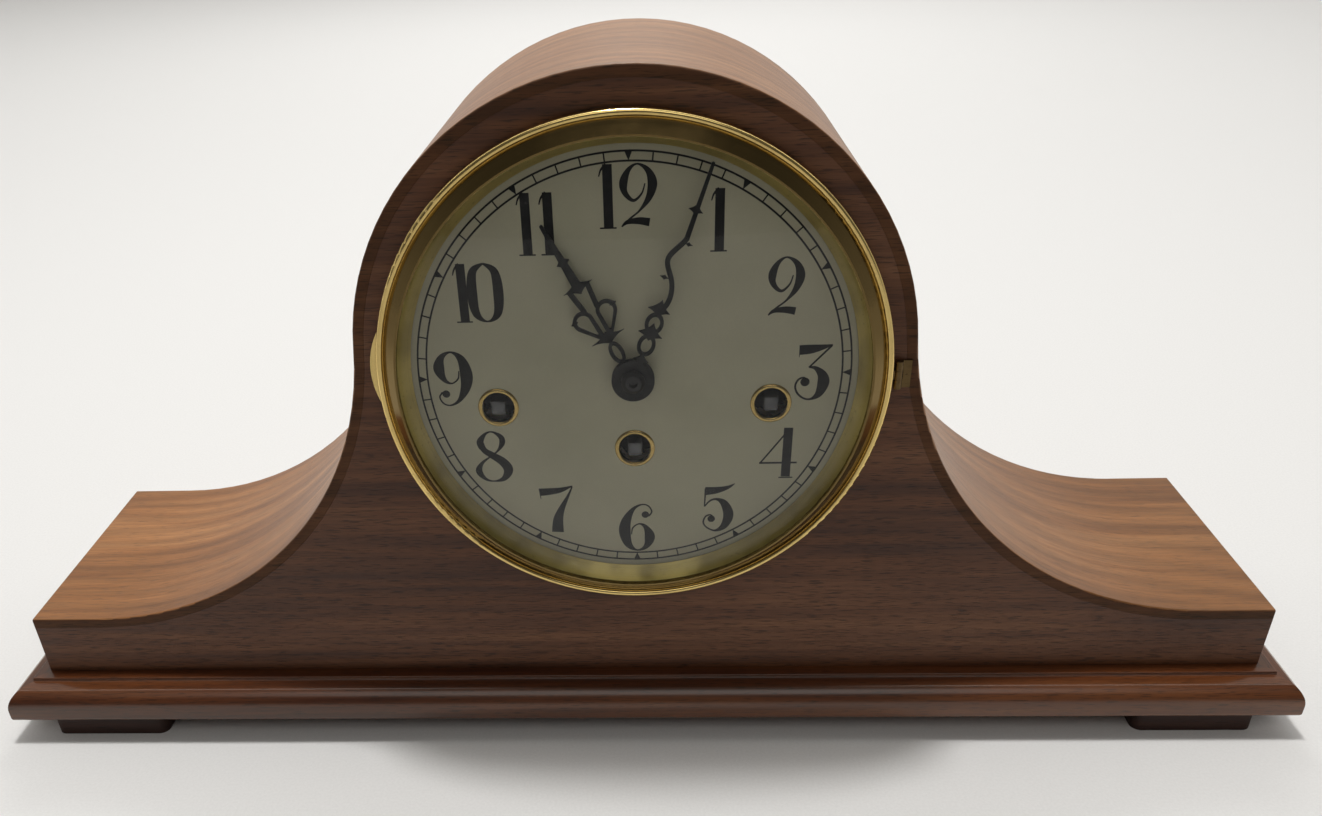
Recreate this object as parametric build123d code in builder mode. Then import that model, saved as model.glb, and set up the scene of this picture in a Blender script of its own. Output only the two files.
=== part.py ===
from build123d import *
import os
from math import atan2, cos, degrees, hypot, radians, sin, sqrt

os.makedirs("parts", exist_ok=True)

# Tambour mantel clock. Millimetres, Z up, the dial faces -Y,
# and the origin is at the middle of the footprint, on the surface the feet stand on.

# Case
BODY_WIDTH = 503.0
BODY_DEPTH = 112.0
SLAB_HEIGHT = 26.3
ARCH_MARGIN = 8.5
ARCH_RISE = 132.9
SWEEP_RADIUS = 126.5
TOP_SKIN = 4.0
TOP_EDGE_ROUND = 0.8
FRONT_THICKNESS = 12.0
BACK_THICKNESS = 8.0
END_BLOCK_LENGTH = 24.0

# Base and feet
FOOT_HEIGHT = 10.0
FOOT_LENGTH = 48.5
FOOT_DEPTH = 34.0
FOOT_SETBACK = 4.0
FOOT_ROUND = 4.0
BASE_THICKNESS = 16.0
NOSE_OUT = 14.8
NOSE_ROUND = 2.0
NOSE_LAND = 3.4
LEDGE_OUT = 5.4
LEDGE_STEP = 1.8
OGEE_DEPTH = 0.8

# Rear door
DOOR_WIDTH = 140.0
DOOR_SILL = 46.0
DOOR_GAP = 0.8
SOUND_HOLE_RADIUS = 6.0
SOUND_RING_RADIUS = 22.0
SOUND_HOLES = 6
KNOB_RADIUS = 5.5
KNOB_NECK_RADIUS = 3.0
KNOB_NECK_LENGTH = 4.0
KNOB_LENGTH = 11.0
KNOB_INSET = 14.0
DOOR_HINGE_SPACING = 46.0
DOOR_HINGE_HEIGHT = 24.0
DOOR_HINGE_LEAF_WIDTH = 12.0
DOOR_HINGE_LEAF_THICKNESS = 1.0
DOOR_HINGE_BARREL_RADIUS = 1.7
DOOR_HINGE_PIN_RADIUS = 0.9

# Dial, reflector ring and winding holes
DIAL_DROP = 3.7
DIAL_SETBACK = 2.4
DIAL_EDGE_GAP = 1.6
DIAL_THICKNESS = 0.8
PAN_WALL = 1.0
PAN_FLANGE_INSET = 1.5
PAN_FLANGE_THICKNESS = 0.8
PAN_SEAT_WIDTH = 3.0
REFLECTOR_OVERLAP = 3.8
REFLECTOR_WIDTH = 4.6
REFLECTOR_SHEET = 0.6
SIDE_ARBOR_DROP = 11.4
GROMMET_RADIUS = 7.4
GROMMET_BORE_RADIUS = 5.6
GROMMET_BARREL_RADIUS = 6.3
GROMMET_FLANGE = 0.7

# Hinged bezel and its convex glass
BEZEL_RADIUS = 90.7
BEZEL_COVER = 6.1
BEZEL_BEAD = 2.4
BEZEL_BEAD_HEIGHT = 4.8
BEZEL_BAND = 4.6
BEZEL_LIP = 0.7
BEZEL_LIP_HEIGHT = 7.4
BEZEL_LIP_DEPTH = 2.2
BEZEL_SHEET = 0.8
BEZEL_SEAT_GAP = 0.3
GLASS_OVERLAP = 1.4
GLASS_THICKNESS = 2.0
GLASS_CROWN = 8.0
TAB_RADIUS = 30.0
TAB_PROUD = 2.4
TAB_THICKNESS = 1.2
TAB_ANGLE = 176.0
BEZEL_HINGE_HEIGHT = 10.2
BEZEL_HINGE_LEAF_WIDTH = 4.6
BEZEL_HINGE_LEAF_THICKNESS = 0.8
BEZEL_HINGE_BARREL_RADIUS = 1.4
BEZEL_HINGE_PIN_RADIUS = 0.7
BEZEL_HINGE_OFFSET = 2.2

# Hands, at the time they show
MINUTE_HAND_ANGLE = 20.2
MINUTE_HAND_CLEARANCE = 1.2
HAND_LENGTH_STEP = 16.5
HAND_THICKNESS = 0.8
HAND_BOSS_RADIUS = 7.6
HAND_STEM = 1.7
HAND_TIP = 1.1
HOUR_HAND_STANDOFF = 2.6
HAND_SPACING = 1.0
NUT_RADIUS = 4.2
NUT_HEIGHT = 2.4

# Movement plates and the way they hang behind the front panel
PLATE_SIDE_MARGIN = 14.8
PLATE_ABOVE = 54.0
PLATE_BELOW = 60.0
PLATE_CORNER = 6.0
PLATE_THICKNESS = 2.0
PILLAR_INSET = 8.0
PILLAR_ABOVE = 44.0
PILLAR_BELOW = 50.0
PILLAR_RADIUS = 4.0
STRAP_INSET = 4.6
STRAP_WIDTH = 12.0
STRAP_THICKNESS = 2.0
SPACER_LENGTH = 4.0
PLATE_NUT_RADIUS = 4.6
PLATE_NUT_HEIGHT = 3.0
HAMMER_SPACE = 38.0

# Wheels: teeth and the module that sets their size
GREAT_TEETH = 56
CENTRE_PINION_TEETH = 8
DRUM_PINION_TEETH = 10
CENTRE_TEETH = 48
CENTRE_MODULE = 0.7
THIRD_PINION_TEETH = 8
THIRD_TEETH = 48
THIRD_MODULE = 0.6
ESCAPE_PINION_TEETH = 8
ESCAPE_TEETH = 15
ESCAPE_RADIUS = 8.0
CANNON_TEETH = 12
MINUTE_TEETH = 36
MINUTE_MODULE = 0.6
MINUTE_PINION_TEETH = 10
HOUR_TEETH = 40
WHEEL_THICKNESS = 1.2
PINION_LENGTH = 5.0
THIRD_DIRECTION = 130.0
ESCAPE_DIRECTION = 20.0
MINUTE_DIRECTION = 40.0
STRIKE_WHEEL_DIRECTION = 80.0
CHIME_DRUM_DIRECTION = -100.0

# Barrels, arbors, ratchets and clicks
BARREL_RADIUS = 23.0
BARREL_WALL = 1.5
BARREL_CLEARANCE = 3.0
BARREL_BACK_CLEARANCE = 11.0
BARREL_GAP = 3.43
GREAT_RIM = 1.13
GREAT_WHEEL_THICKNESS = 3.0
SPRING_CLEARANCE = 0.4
WINDING_ARBOR_RADIUS = 3.5
ARBOR_CORE_RADIUS = 7.6
KEY_SQUARE = 5.0
KEY_SQUARE_LENGTH = 8.5
KEY_SQUARE_PROUD = 0.9
RATCHET_RADIUS = 9.0
RATCHET_TOOTH = 1.3
RATCHET_TEETH = 16
RATCHET_THICKNESS = 1.5
RATCHET_STANDOFF = 1.5
CLICK_REACH = 15.0
CLICK_SPREAD = 36.0
CLICK_HUB_RADIUS = 3.0
CLICK_NOSE_RADIUS = 0.8
CLICK_GAP = 0.3
STUD_RADIUS = 1.5

# Train arbors, escapement and balance
ARBOR_RADIUS = 1.5
PIVOT_RADIUS = 0.8
CANNON_PIPE_WALL = 1.05
HOUR_PIPE_WALL = 1.55
ANCHOR_SPACING = 13.0
ANCHOR_DIRECTION = 30.0
ANCHOR_ANGLE = 34.0
ANCHOR_HUB_RADIUS = 2.2
PALLET_RADIUS = 0.7
PALLET_GAP = 0.7
BALANCE_SPACING = 13.0
BALANCE_DIRECTION = 20.0
BALANCE_RADIUS = 9.0
BALANCE_RIM = 1.6
BALANCE_ARM = 1.4

# Hammers, chime rods and the drum that lifts the hammers
HAMMERS = 5
HAMMER_PITCH = 6.5
HAMMER_FIRST = 6.0
HAMMER_HEAD_WIDTH = 5.0
HAMMER_HEAD_LENGTH = 9.0
HAMMER_HEAD_HEIGHT = 14.0
HAMMER_ARM = 2.0
HAMMER_REACH = 50.0
HAMMER_HUB_RADIUS = 4.2
HAMMER_HUB_LENGTH = 4.4
HAMMER_ARBOR_RADIUS = 2.0
HAMMER_ARBOR_BACK = 26.0
HAMMER_ARBOR_DROP = 9.0
STRIKE_GAP = 2.0
DRUM_CORE_RADIUS = 4.0
DRUM_CAM_RADIUS = 7.0
DRUM_CAM_WIDTH = 3.0
DRUM_LOBE_RADIUS = 2.2
DRUM_LOBES = 4
DRUM_GAP = 0.4
PIN_WHEEL_RADIUS = 10.0
PIN_WHEEL_PINS = 8
ROD_RADIUS = 1.3
ROD_HEIGHT = 16.0
ROD_SEAT = 9.0
ROD_LONGEST = 200.0
ROD_STEP = 12.0
ROD_BLOCK_LENGTH = 22.0
ROD_BLOCK_HEIGHT = 24.0
ROD_BLOCK_MARGIN = 4.5
STRIKE_POINT = 38.0

# Shared clearances
RUNNING = 0.05
SIDE_PLAY = 0.3
OVERRUN = 5.0

# Tooth shapes, as shares of the module and of the tooth spacing
WHEEL_TOOTH_SHARES = (0.75, 1.0, 0.24, 0.52)
PINION_TOOTH_SHARES = (0.55, 1.05, 0.22, 0.46)

# Places that follow from the sizes above
BASE_TOP_Z = FOOT_HEIGHT + BASE_THICKNESS
SHOULDER_Z = BASE_TOP_Z + SLAB_HEIGHT
ARCH_Z = BASE_TOP_Z + ARCH_RISE
ARCH_RADIUS = BEZEL_RADIUS + ARCH_MARGIN
SWEEP_Z = SHOULDER_Z + SWEEP_RADIUS
SWEEP_X = sqrt((ARCH_RADIUS + SWEEP_RADIUS) ** 2 - (SWEEP_Z - ARCH_Z) ** 2)
JOIN_ANGLE = degrees(atan2(SWEEP_Z - ARCH_Z, SWEEP_X))
HALF_WIDTH = BODY_WIDTH / 2
FRONT_Y = -BODY_DEPTH / 2
BACK_Y = BODY_DEPTH / 2
PANEL_BACK_Y = FRONT_Y + FRONT_THICKNESS
BACK_INNER_Y = BACK_Y - BACK_THICKNESS
DIAL_Z = ARCH_Z - DIAL_DROP
DIAL_FACE_Y = FRONT_Y + DIAL_SETBACK
DIAL_BACK_Y = DIAL_FACE_Y + DIAL_THICKNESS
DIAL_OPENING_RADIUS = BEZEL_RADIUS - BEZEL_COVER
DIAL_RADIUS = DIAL_OPENING_RADIUS - DIAL_EDGE_GAP
PAN_FLANGE_RADIUS = BEZEL_RADIUS - PAN_FLANGE_INSET
REFLECTOR_INNER_RADIUS = DIAL_RADIUS - REFLECTOR_OVERLAP
MINUTE_HAND_LENGTH = REFLECTOR_INNER_RADIUS - MINUTE_HAND_CLEARANCE
HOUR_HAND_LENGTH = MINUTE_HAND_LENGTH - HAND_LENGTH_STEP
STRAP_REACH = DIAL_OPENING_RADIUS - STRAP_INSET
PLATE_FRONT_Y = PANEL_BACK_Y + STRAP_THICKNESS + SPACER_LENGTH
PLATE_INNER_Y = PLATE_FRONT_Y + PLATE_THICKNESS
BACK_PLATE_OUTER_Y = BACK_INNER_Y - HAMMER_SPACE
BACK_PLATE_Y = BACK_PLATE_OUTER_Y - PLATE_THICKNESS
BARREL_FRONT_Y = PLATE_INNER_Y + BARREL_CLEARANCE
BARREL_BACK_Y = BACK_PLATE_Y - BARREL_BACK_CLEARANCE
GREAT_MODULE = (BARREL_RADIUS + GREAT_RIM) / (GREAT_TEETH / 2 - WHEEL_TOOTH_SHARES[1])
HOUR_MODULE = MINUTE_MODULE * (CANNON_TEETH + MINUTE_TEETH) / (MINUTE_PINION_TEETH + HOUR_TEETH)
HOUR_HAND_ANGLE = 330.0 + MINUTE_HAND_ANGLE / 12
ROD_Z = BASE_TOP_Z + ROD_HEIGHT


def polar(centre, distance, direction):
    """The point at a distance and direction from a centre, in the plane of the dial."""
    return (
        centre[0] + distance * cos(radians(direction)),
        centre[1] + distance * sin(radians(direction)),
    )


def spacing(module, teeth, pinion_teeth):
    """Distance between the axes of a wheel and the pinion it meshes with."""
    return module * (teeth + pinion_teeth) / 2


def facing(y, place=(0.0, 0.0), clockwise=0.0):
    """A plane at depth y that faces the front, with its own X to the right and its Y up."""
    right = (cos(radians(clockwise)), 0, -sin(radians(clockwise)))
    return Plane(origin=(place[0], y, place[1]), x_dir=right, z_dir=(0, -1, 0))


def save(part, name):
    """Label a finished piece and write it."""
    part.label = name
    export_step(part, f"parts/{name}.step")


# Barrels stand as close as their great wheels allow; the plates are wide enough for the outer pair
GREAT_TIP_RADIUS = GREAT_MODULE * (GREAT_TEETH / 2 + WHEEL_TOOTH_SHARES[0])
TIME_ARBOR_DROP = spacing(GREAT_MODULE, GREAT_TEETH, CENTRE_PINION_TEETH)
BARREL_SPACING = GREAT_TIP_RADIUS + BARREL_RADIUS + BARREL_GAP
SIDE_ARBOR_X = sqrt(BARREL_SPACING ** 2 - (TIME_ARBOR_DROP - SIDE_ARBOR_DROP) ** 2)
PLATE_WIDTH = 2 * (SIDE_ARBOR_X + PLATE_SIDE_MARGIN)
PILLAR_X = PLATE_WIDTH / 2 - PILLAR_INSET

# Axes of the arbors, as (x, z)
CENTRE = (0.0, DIAL_Z)
TIME_AXIS = (0.0, DIAL_Z - TIME_ARBOR_DROP)
STRIKE_AXIS = (-SIDE_ARBOR_X, DIAL_Z - SIDE_ARBOR_DROP)
CHIME_AXIS = (SIDE_ARBOR_X, DIAL_Z - SIDE_ARBOR_DROP)
THIRD_AXIS = polar(CENTRE, spacing(CENTRE_MODULE, CENTRE_TEETH, THIRD_PINION_TEETH), THIRD_DIRECTION)
ESCAPE_AXIS = polar(THIRD_AXIS, spacing(THIRD_MODULE, THIRD_TEETH, ESCAPE_PINION_TEETH), ESCAPE_DIRECTION)
ANCHOR_AXIS = polar(ESCAPE_AXIS, ANCHOR_SPACING, ANCHOR_DIRECTION)
BALANCE_AXIS = polar(ANCHOR_AXIS, BALANCE_SPACING, BALANCE_DIRECTION)
MINUTE_AXIS = polar(CENTRE, spacing(MINUTE_MODULE, CANNON_TEETH, MINUTE_TEETH), MINUTE_DIRECTION)
DRUM_SPACING = spacing(GREAT_MODULE, GREAT_TEETH, DRUM_PINION_TEETH)
STRIKE_WHEEL_AXIS = polar(STRIKE_AXIS, DRUM_SPACING, STRIKE_WHEEL_DIRECTION)
DRUM_AXIS = polar(CHIME_AXIS, DRUM_SPACING, CHIME_DRUM_DIRECTION)
HAMMER_AXIS = (DRUM_AXIS[0] - HAMMER_ARBOR_BACK, DRUM_AXIS[1] - HAMMER_ARBOR_DROP)
HAMMER_YS = [BACK_PLATE_OUTER_Y + HAMMER_FIRST + HAMMER_PITCH * i for i in range(HAMMERS)]
WINDING_AXES = {"time": TIME_AXIS, "strike": STRIKE_AXIS, "chime": CHIME_AXIS}
PILLAR_PLACES = [
    (side * PILLAR_X, DIAL_Z + rise) for side in (-1, 1) for rise in (PILLAR_ABOVE, -PILLAR_BELOW)
]


def turned(points, place):
    """A solid turned about an axis along Y through a place; points are (radius, y)."""
    with BuildPart() as piece:
        with BuildSketch(Plane(origin=(place[0], 0, place[1]))):
            with BuildLine():
                Polyline(*points, close=True)
            make_face()
        revolve(axis=Axis((place[0], 0, place[1]), (0, 1, 0)))
    return piece.part


def rod(place, radius, y_front, y_back):
    """A plain round bar along Y."""
    with BuildPart() as piece:
        with BuildSketch(facing(y_back, place)):
            Circle(radius)
        extrude(amount=y_back - y_front)
    return piece.part


def tooth_outline(teeth, module, shares, first_angle):
    """Corner points of a toothed disc with one tooth centred on first_angle."""
    addendum_share, dedendum_share, tip_share, root_share = shares
    pitch_radius = module * teeth / 2
    tip = pitch_radius + addendum_share * module
    root = pitch_radius - dedendum_share * module
    step = 360 / teeth
    points = []
    for i in range(teeth):
        angle = first_angle + i * step
        for radius, share in ((root, -root_share), (tip, -tip_share), (tip, tip_share), (root, root_share)):
            points.append(polar((0, 0), radius, angle + share * step / 2))
    return points


def toothed(teeth, module, shares, first_angle, place, y_front, y_back, bore):
    """A toothed disc with a bore."""
    with BuildPart() as piece:
        with BuildSketch(facing(y_back, place)):
            with BuildLine():
                Polyline(*tooth_outline(teeth, module, shares, first_angle), close=True)
            make_face()
            Circle(bore, mode=Mode.SUBTRACT)
        extrude(amount=y_back - y_front)
    return piece.part


def wheel(teeth, module, towards, place, y_front, y_back, bore):
    """A wheel with a tooth on the line towards its pinion."""
    return toothed(teeth, module, WHEEL_TOOTH_SHARES, towards, place, y_front, y_back, bore)


def pinion(teeth, module, towards, place, y_front, y_back, bore):
    """A pinion with a space on the line towards its wheel."""
    first = towards + 180 / teeth
    return toothed(teeth, module, PINION_TOOTH_SHARES, first, place, y_front, y_back, bore)


def crossing(place, inner, outer, arms, arm_width, y_front, y_back):
    """The windows cut between the arms of a wheel."""
    with BuildPart() as piece:
        with BuildSketch(facing(y_back, place)):
            Circle(outer)
            Circle(inner, mode=Mode.SUBTRACT)
            with PolarLocations(0, arms):
                Rectangle(outer + arm_width, arm_width, align=(Align.MIN, Align.CENTER), mode=Mode.SUBTRACT)
        extrude(amount=y_back - y_front)
    return piece.part


def link(start, start_radius, end, end_radius):
    """A flat arm: the hull of two circles."""
    with BuildSketch() as arm:
        with Locations(start):
            Circle(start_radius)
        with Locations(end):
            Circle(end_radius)
        make_hull()
    return arm.sketch


# Case

def outline_lines(inset):
    """Shoulders, sweeps and arch, moved inwards by an inset."""
    with BuildLine() as line:
        arch = CenterArc((0, ARCH_Z), ARCH_RADIUS - inset, JOIN_ANGLE, 180 - 2 * JOIN_ANGLE)
        right = CenterArc((SWEEP_X, SWEEP_Z), SWEEP_RADIUS + inset, 180 + JOIN_ANGLE, 90 - JOIN_ANGLE)
        left = CenterArc((-SWEEP_X, SWEEP_Z), SWEEP_RADIUS + inset, 270, 90 - JOIN_ANGLE)
        Line((SWEEP_X, SHOULDER_Z - inset), (HALF_WIDTH, SHOULDER_Z - inset))
        Line((-SWEEP_X, SHOULDER_Z - inset), (-HALF_WIDTH, SHOULDER_Z - inset))
    return line.line


def panel_face():
    """The flat panel outline that lies inside the bent top."""
    with BuildSketch() as face:
        with BuildLine():
            add(outline_lines(TOP_SKIN))
            Polyline(
                (HALF_WIDTH, SHOULDER_Z - TOP_SKIN),
                (HALF_WIDTH, BASE_TOP_Z),
                (-HALF_WIDTH, BASE_TOP_Z),
                (-HALF_WIDTH, SHOULDER_Z - TOP_SKIN),
            )
        make_face()
    return face.sketch


with BuildPart() as front_panel:
    with BuildSketch(facing(PANEL_BACK_Y)):
        add(panel_face())
        with Locations((0, DIAL_Z)):
            Circle(DIAL_OPENING_RADIUS, mode=Mode.SUBTRACT)
    extrude(amount=FRONT_THICKNESS)
save(front_panel.part, "front_panel")

with BuildPart() as tambour_top:
    with BuildSketch(facing(BACK_Y)):
        with BuildLine():
            add(outline_lines(0))
            add(outline_lines(TOP_SKIN))
            for side in (-1, 1):
                Line((side * HALF_WIDTH, SHOULDER_Z), (side * HALF_WIDTH, SHOULDER_Z - TOP_SKIN))
        make_face()
    extrude(amount=BODY_DEPTH)
    outer_arcs = [
        e for e in tambour_top.edges().filter_by(GeomType.CIRCLE)
        if min(abs(e.radius - ARCH_RADIUS), abs(e.radius - SWEEP_RADIUS)) < RUNNING
    ]
    shoulder_edges = tambour_top.edges().filter_by(Axis.X).group_by(Axis.Z)[-1]
    fillet(outer_arcs + list(shoulder_edges), TOP_EDGE_ROUND)
save(tambour_top.part, "tambour_top")

with BuildPart() as end_blocks:
    with BuildSketch(facing(BACK_INNER_Y)):
        for side in (-1, 1):
            with Locations((side * (HALF_WIDTH - END_BLOCK_LENGTH / 2), BASE_TOP_Z)):
                Rectangle(END_BLOCK_LENGTH, SLAB_HEIGHT - TOP_SKIN, align=(Align.CENTER, Align.MIN))
    extrude(amount=BACK_INNER_Y - PANEL_BACK_Y)
save(end_blocks.part, "end_blocks")


def door_face(gap):
    """The arched door shape, smaller by a gap all round."""
    half = DOOR_WIDTH / 2 - gap
    sill = BASE_TOP_Z + DOOR_SILL + gap
    with BuildSketch() as face:
        with BuildLine():
            CenterArc((0, ARCH_Z), half, 0, 180)
            Polyline((half, ARCH_Z), (half, sill), (-half, sill), (-half, ARCH_Z))
        make_face()
    return face.sketch


with BuildPart() as back_panel:
    with BuildSketch(facing(BACK_Y)):
        add(panel_face())
        add(door_face(0), mode=Mode.SUBTRACT)
    extrude(amount=BACK_THICKNESS)
save(back_panel.part, "back_panel")

with BuildPart() as rear_door:
    with BuildSketch(facing(BACK_Y)):
        add(door_face(DOOR_GAP))
        with Locations((0, ARCH_Z)):
            Circle(SOUND_HOLE_RADIUS, mode=Mode.SUBTRACT)
            with PolarLocations(SOUND_RING_RADIUS, SOUND_HOLES):
                Circle(SOUND_HOLE_RADIUS, mode=Mode.SUBTRACT)
    extrude(amount=BACK_THICKNESS)
save(rear_door.part, "rear_door")

KNOB_PLACE = (DOOR_WIDTH / 2 - KNOB_INSET, (ARCH_Z + BASE_TOP_Z + DOOR_SILL) / 2)
door_knob = turned(
    [
        (0, BACK_Y),
        (KNOB_NECK_RADIUS, BACK_Y),
        (KNOB_NECK_RADIUS, BACK_Y + KNOB_NECK_LENGTH),
        (KNOB_RADIUS, BACK_Y + (KNOB_NECK_LENGTH + KNOB_LENGTH) / 2),
        (KNOB_NECK_RADIUS, BACK_Y + KNOB_LENGTH),
        (0, BACK_Y + KNOB_LENGTH),
    ],
    KNOB_PLACE,
)
save(door_knob, "door_knob")


# Base board with its moulded edge, and the feet under it

def moulded_face(half):
    """Half-round nose, ogee and ledge on both ends of a board section."""
    top = BASE_TOP_Z
    ledge = half + LEDGE_OUT
    nose = half + NOSE_OUT
    step = top - LEDGE_STEP
    land = FOOT_HEIGHT + NOSE_ROUND + NOSE_LAND
    middle = ((ledge + nose) / 2, (step + land) / 2)
    with BuildSketch() as face:
        with BuildLine():
            Line((0, top), (ledge, top))
            Line((ledge, top), (ledge, step))
            SagittaArc((ledge, step), middle, -OGEE_DEPTH)
            SagittaArc(middle, (nose, land), OGEE_DEPTH)
            Line((nose, land), (nose, FOOT_HEIGHT + NOSE_ROUND))
            RadiusArc((nose, FOOT_HEIGHT + NOSE_ROUND), (nose - NOSE_ROUND, FOOT_HEIGHT), NOSE_ROUND)
            Line((nose - NOSE_ROUND, FOOT_HEIGHT), (0, FOOT_HEIGHT))
            mirror(about=Plane.YZ)
        make_face()
    return face.sketch


with BuildPart() as base_board:
    with BuildSketch(Plane.YZ):
        add(moulded_face(BODY_DEPTH / 2))
    extrude(amount=HALF_WIDTH + NOSE_OUT + OVERRUN, both=True)
    with BuildSketch(Plane.XZ):
        add(moulded_face(HALF_WIDTH))
    extrude(amount=BODY_DEPTH / 2 + NOSE_OUT + OVERRUN, both=True, mode=Mode.INTERSECT)
save(base_board.part, "base_board")

with BuildPart() as feet:
    with BuildSketch():
        foot_x = HALF_WIDTH - FOOT_LENGTH / 2
        foot_y = BACK_Y + NOSE_OUT - FOOT_SETBACK - FOOT_DEPTH / 2
        with GridLocations(2 * foot_x, 2 * foot_y, 2, 2):
            RectangleRounded(FOOT_LENGTH, FOOT_DEPTH, FOOT_ROUND)
    extrude(amount=FOOT_HEIGHT)
save(feet.part, "feet")


# Hinges: a leaf with knuckles, and a pin, both upright

def hinge_leaf(axis_place, z_middle, height, leaf, barrel, pin_radius, side, middle_knuckle):
    """A leaf with one middle knuckle or two outer ones; leaf is (width, thickness, outer face y, way out)."""
    leaf_width, leaf_thickness, leaf_y, way = leaf
    third = height / 3
    knuckles = [0] if middle_knuckle else [-1, 1]
    with BuildPart() as piece:
        for k in knuckles:
            with BuildSketch(Plane(origin=(axis_place[0], axis_place[1], z_middle + k * third))):
                Circle(barrel)
            extrude(amount=third / 2 - RUNNING, both=True)
        for k in knuckles:
            with BuildSketch(Plane(origin=(axis_place[0], leaf_y, z_middle + k * third))):
                with Locations((side * leaf_width / 2, way * leaf_thickness / 2)):
                    Rectangle(leaf_width, leaf_thickness)
            extrude(amount=third / 2 - RUNNING, both=True)
        with BuildSketch(Plane(origin=(axis_place[0], leaf_y, z_middle))):
            clear = barrel + SIDE_PLAY
            with Locations((side * (leaf_width + clear) / 2, way * leaf_thickness / 2)):
                Rectangle(leaf_width - clear, leaf_thickness)
        extrude(amount=height / 2 - RUNNING, both=True)
        with BuildSketch(Plane(origin=(axis_place[0], axis_place[1], z_middle))):
            Circle(pin_radius + RUNNING)
        extrude(amount=height, both=True, mode=Mode.SUBTRACT)
    return piece.part


def hinge_pin(axis_place, z_middle, height, pin_radius):
    """The pin through a hinge."""
    with BuildPart() as piece:
        with BuildSketch(Plane(origin=(axis_place[0], axis_place[1], z_middle))):
            Circle(pin_radius)
        extrude(amount=height / 2, both=True)
    return piece.part


DOOR_HINGE_AXIS = (-DOOR_WIDTH / 2, BACK_Y + DOOR_HINGE_BARREL_RADIUS)
DOOR_HINGE_MIDDLE_Z = (BASE_TOP_Z + DOOR_SILL + ARCH_Z) / 2
DOOR_HINGE_ZS = [DOOR_HINGE_MIDDLE_Z + s * DOOR_HINGE_SPACING / 2 for s in (-1, 1)]
DOOR_LEAF = (DOOR_HINGE_LEAF_WIDTH, DOOR_HINGE_LEAF_THICKNESS, BACK_Y, 1)


def door_leaves(side, middle_knuckle):
    """The leaves of both door hinges on one side."""
    with BuildPart() as pair:
        for z in DOOR_HINGE_ZS:
            add(
                hinge_leaf(
                    DOOR_HINGE_AXIS, z, DOOR_HINGE_HEIGHT, DOOR_LEAF,
                    DOOR_HINGE_BARREL_RADIUS, DOOR_HINGE_PIN_RADIUS, side, middle_knuckle,
                )
            )
    return pair.part


save(door_leaves(-1, False), "door_hinge_case_leaves")
save(door_leaves(1, True), "door_hinge_door_leaves")

with BuildPart() as door_hinge_pins:
    for z in DOOR_HINGE_ZS:
        add(hinge_pin(DOOR_HINGE_AXIS, z, DOOR_HINGE_HEIGHT, DOOR_HINGE_PIN_RADIUS))
save(door_hinge_pins.part, "door_hinge_pins")


# Dial pan, dial and winding grommets

PAN_OUTER_RADIUS = DIAL_OPENING_RADIUS - SIDE_PLAY
PAN_INNER_RADIUS = PAN_OUTER_RADIUS - PAN_WALL
dial_pan = turned(
    [
        (PAN_INNER_RADIUS, FRONT_Y - PAN_FLANGE_THICKNESS),
        (PAN_FLANGE_RADIUS, FRONT_Y - PAN_FLANGE_THICKNESS),
        (PAN_FLANGE_RADIUS, FRONT_Y),
        (PAN_OUTER_RADIUS, FRONT_Y),
        (PAN_OUTER_RADIUS, DIAL_BACK_Y + PAN_WALL),
        (PAN_INNER_RADIUS - PAN_SEAT_WIDTH, DIAL_BACK_Y + PAN_WALL),
        (PAN_INNER_RADIUS - PAN_SEAT_WIDTH, DIAL_BACK_Y),
        (PAN_INNER_RADIUS, DIAL_BACK_Y),
    ],
    CENTRE,
)
save(dial_pan, "dial_pan")

HOUR_PIPE_RADIUS = ARBOR_RADIUS + CANNON_PIPE_WALL + HOUR_PIPE_WALL + 2 * RUNNING
with BuildPart() as dial_plate:
    with BuildSketch(facing(DIAL_BACK_Y)):
        with Locations(CENTRE):
            Circle(DIAL_RADIUS)
            Circle(HOUR_PIPE_RADIUS + SIDE_PLAY, mode=Mode.SUBTRACT)
        with Locations(*WINDING_AXES.values()):
            Circle(GROMMET_BARREL_RADIUS, mode=Mode.SUBTRACT)
    extrude(amount=DIAL_THICKNESS)
save(dial_plate.part, "dial_plate")

with BuildPart() as winding_grommets:
    for place in WINDING_AXES.values():
        add(
            turned(
                [
                    (GROMMET_BORE_RADIUS, DIAL_FACE_Y - GROMMET_FLANGE),
                    (GROMMET_RADIUS - GROMMET_FLANGE / 2, DIAL_FACE_Y - GROMMET_FLANGE),
                    (GROMMET_RADIUS, DIAL_FACE_Y),
                    (GROMMET_BARREL_RADIUS, DIAL_FACE_Y),
                    (GROMMET_BARREL_RADIUS, DIAL_BACK_Y + GROMMET_FLANGE),
                    (GROMMET_BORE_RADIUS, DIAL_BACK_Y + GROMMET_FLANGE),
                ],
                place,
            )
        )
save(winding_grommets.part, "winding_grommets")


# Bezel: a spun brass ring with a rounded bead, a sloping band and a lip over the glass

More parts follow.
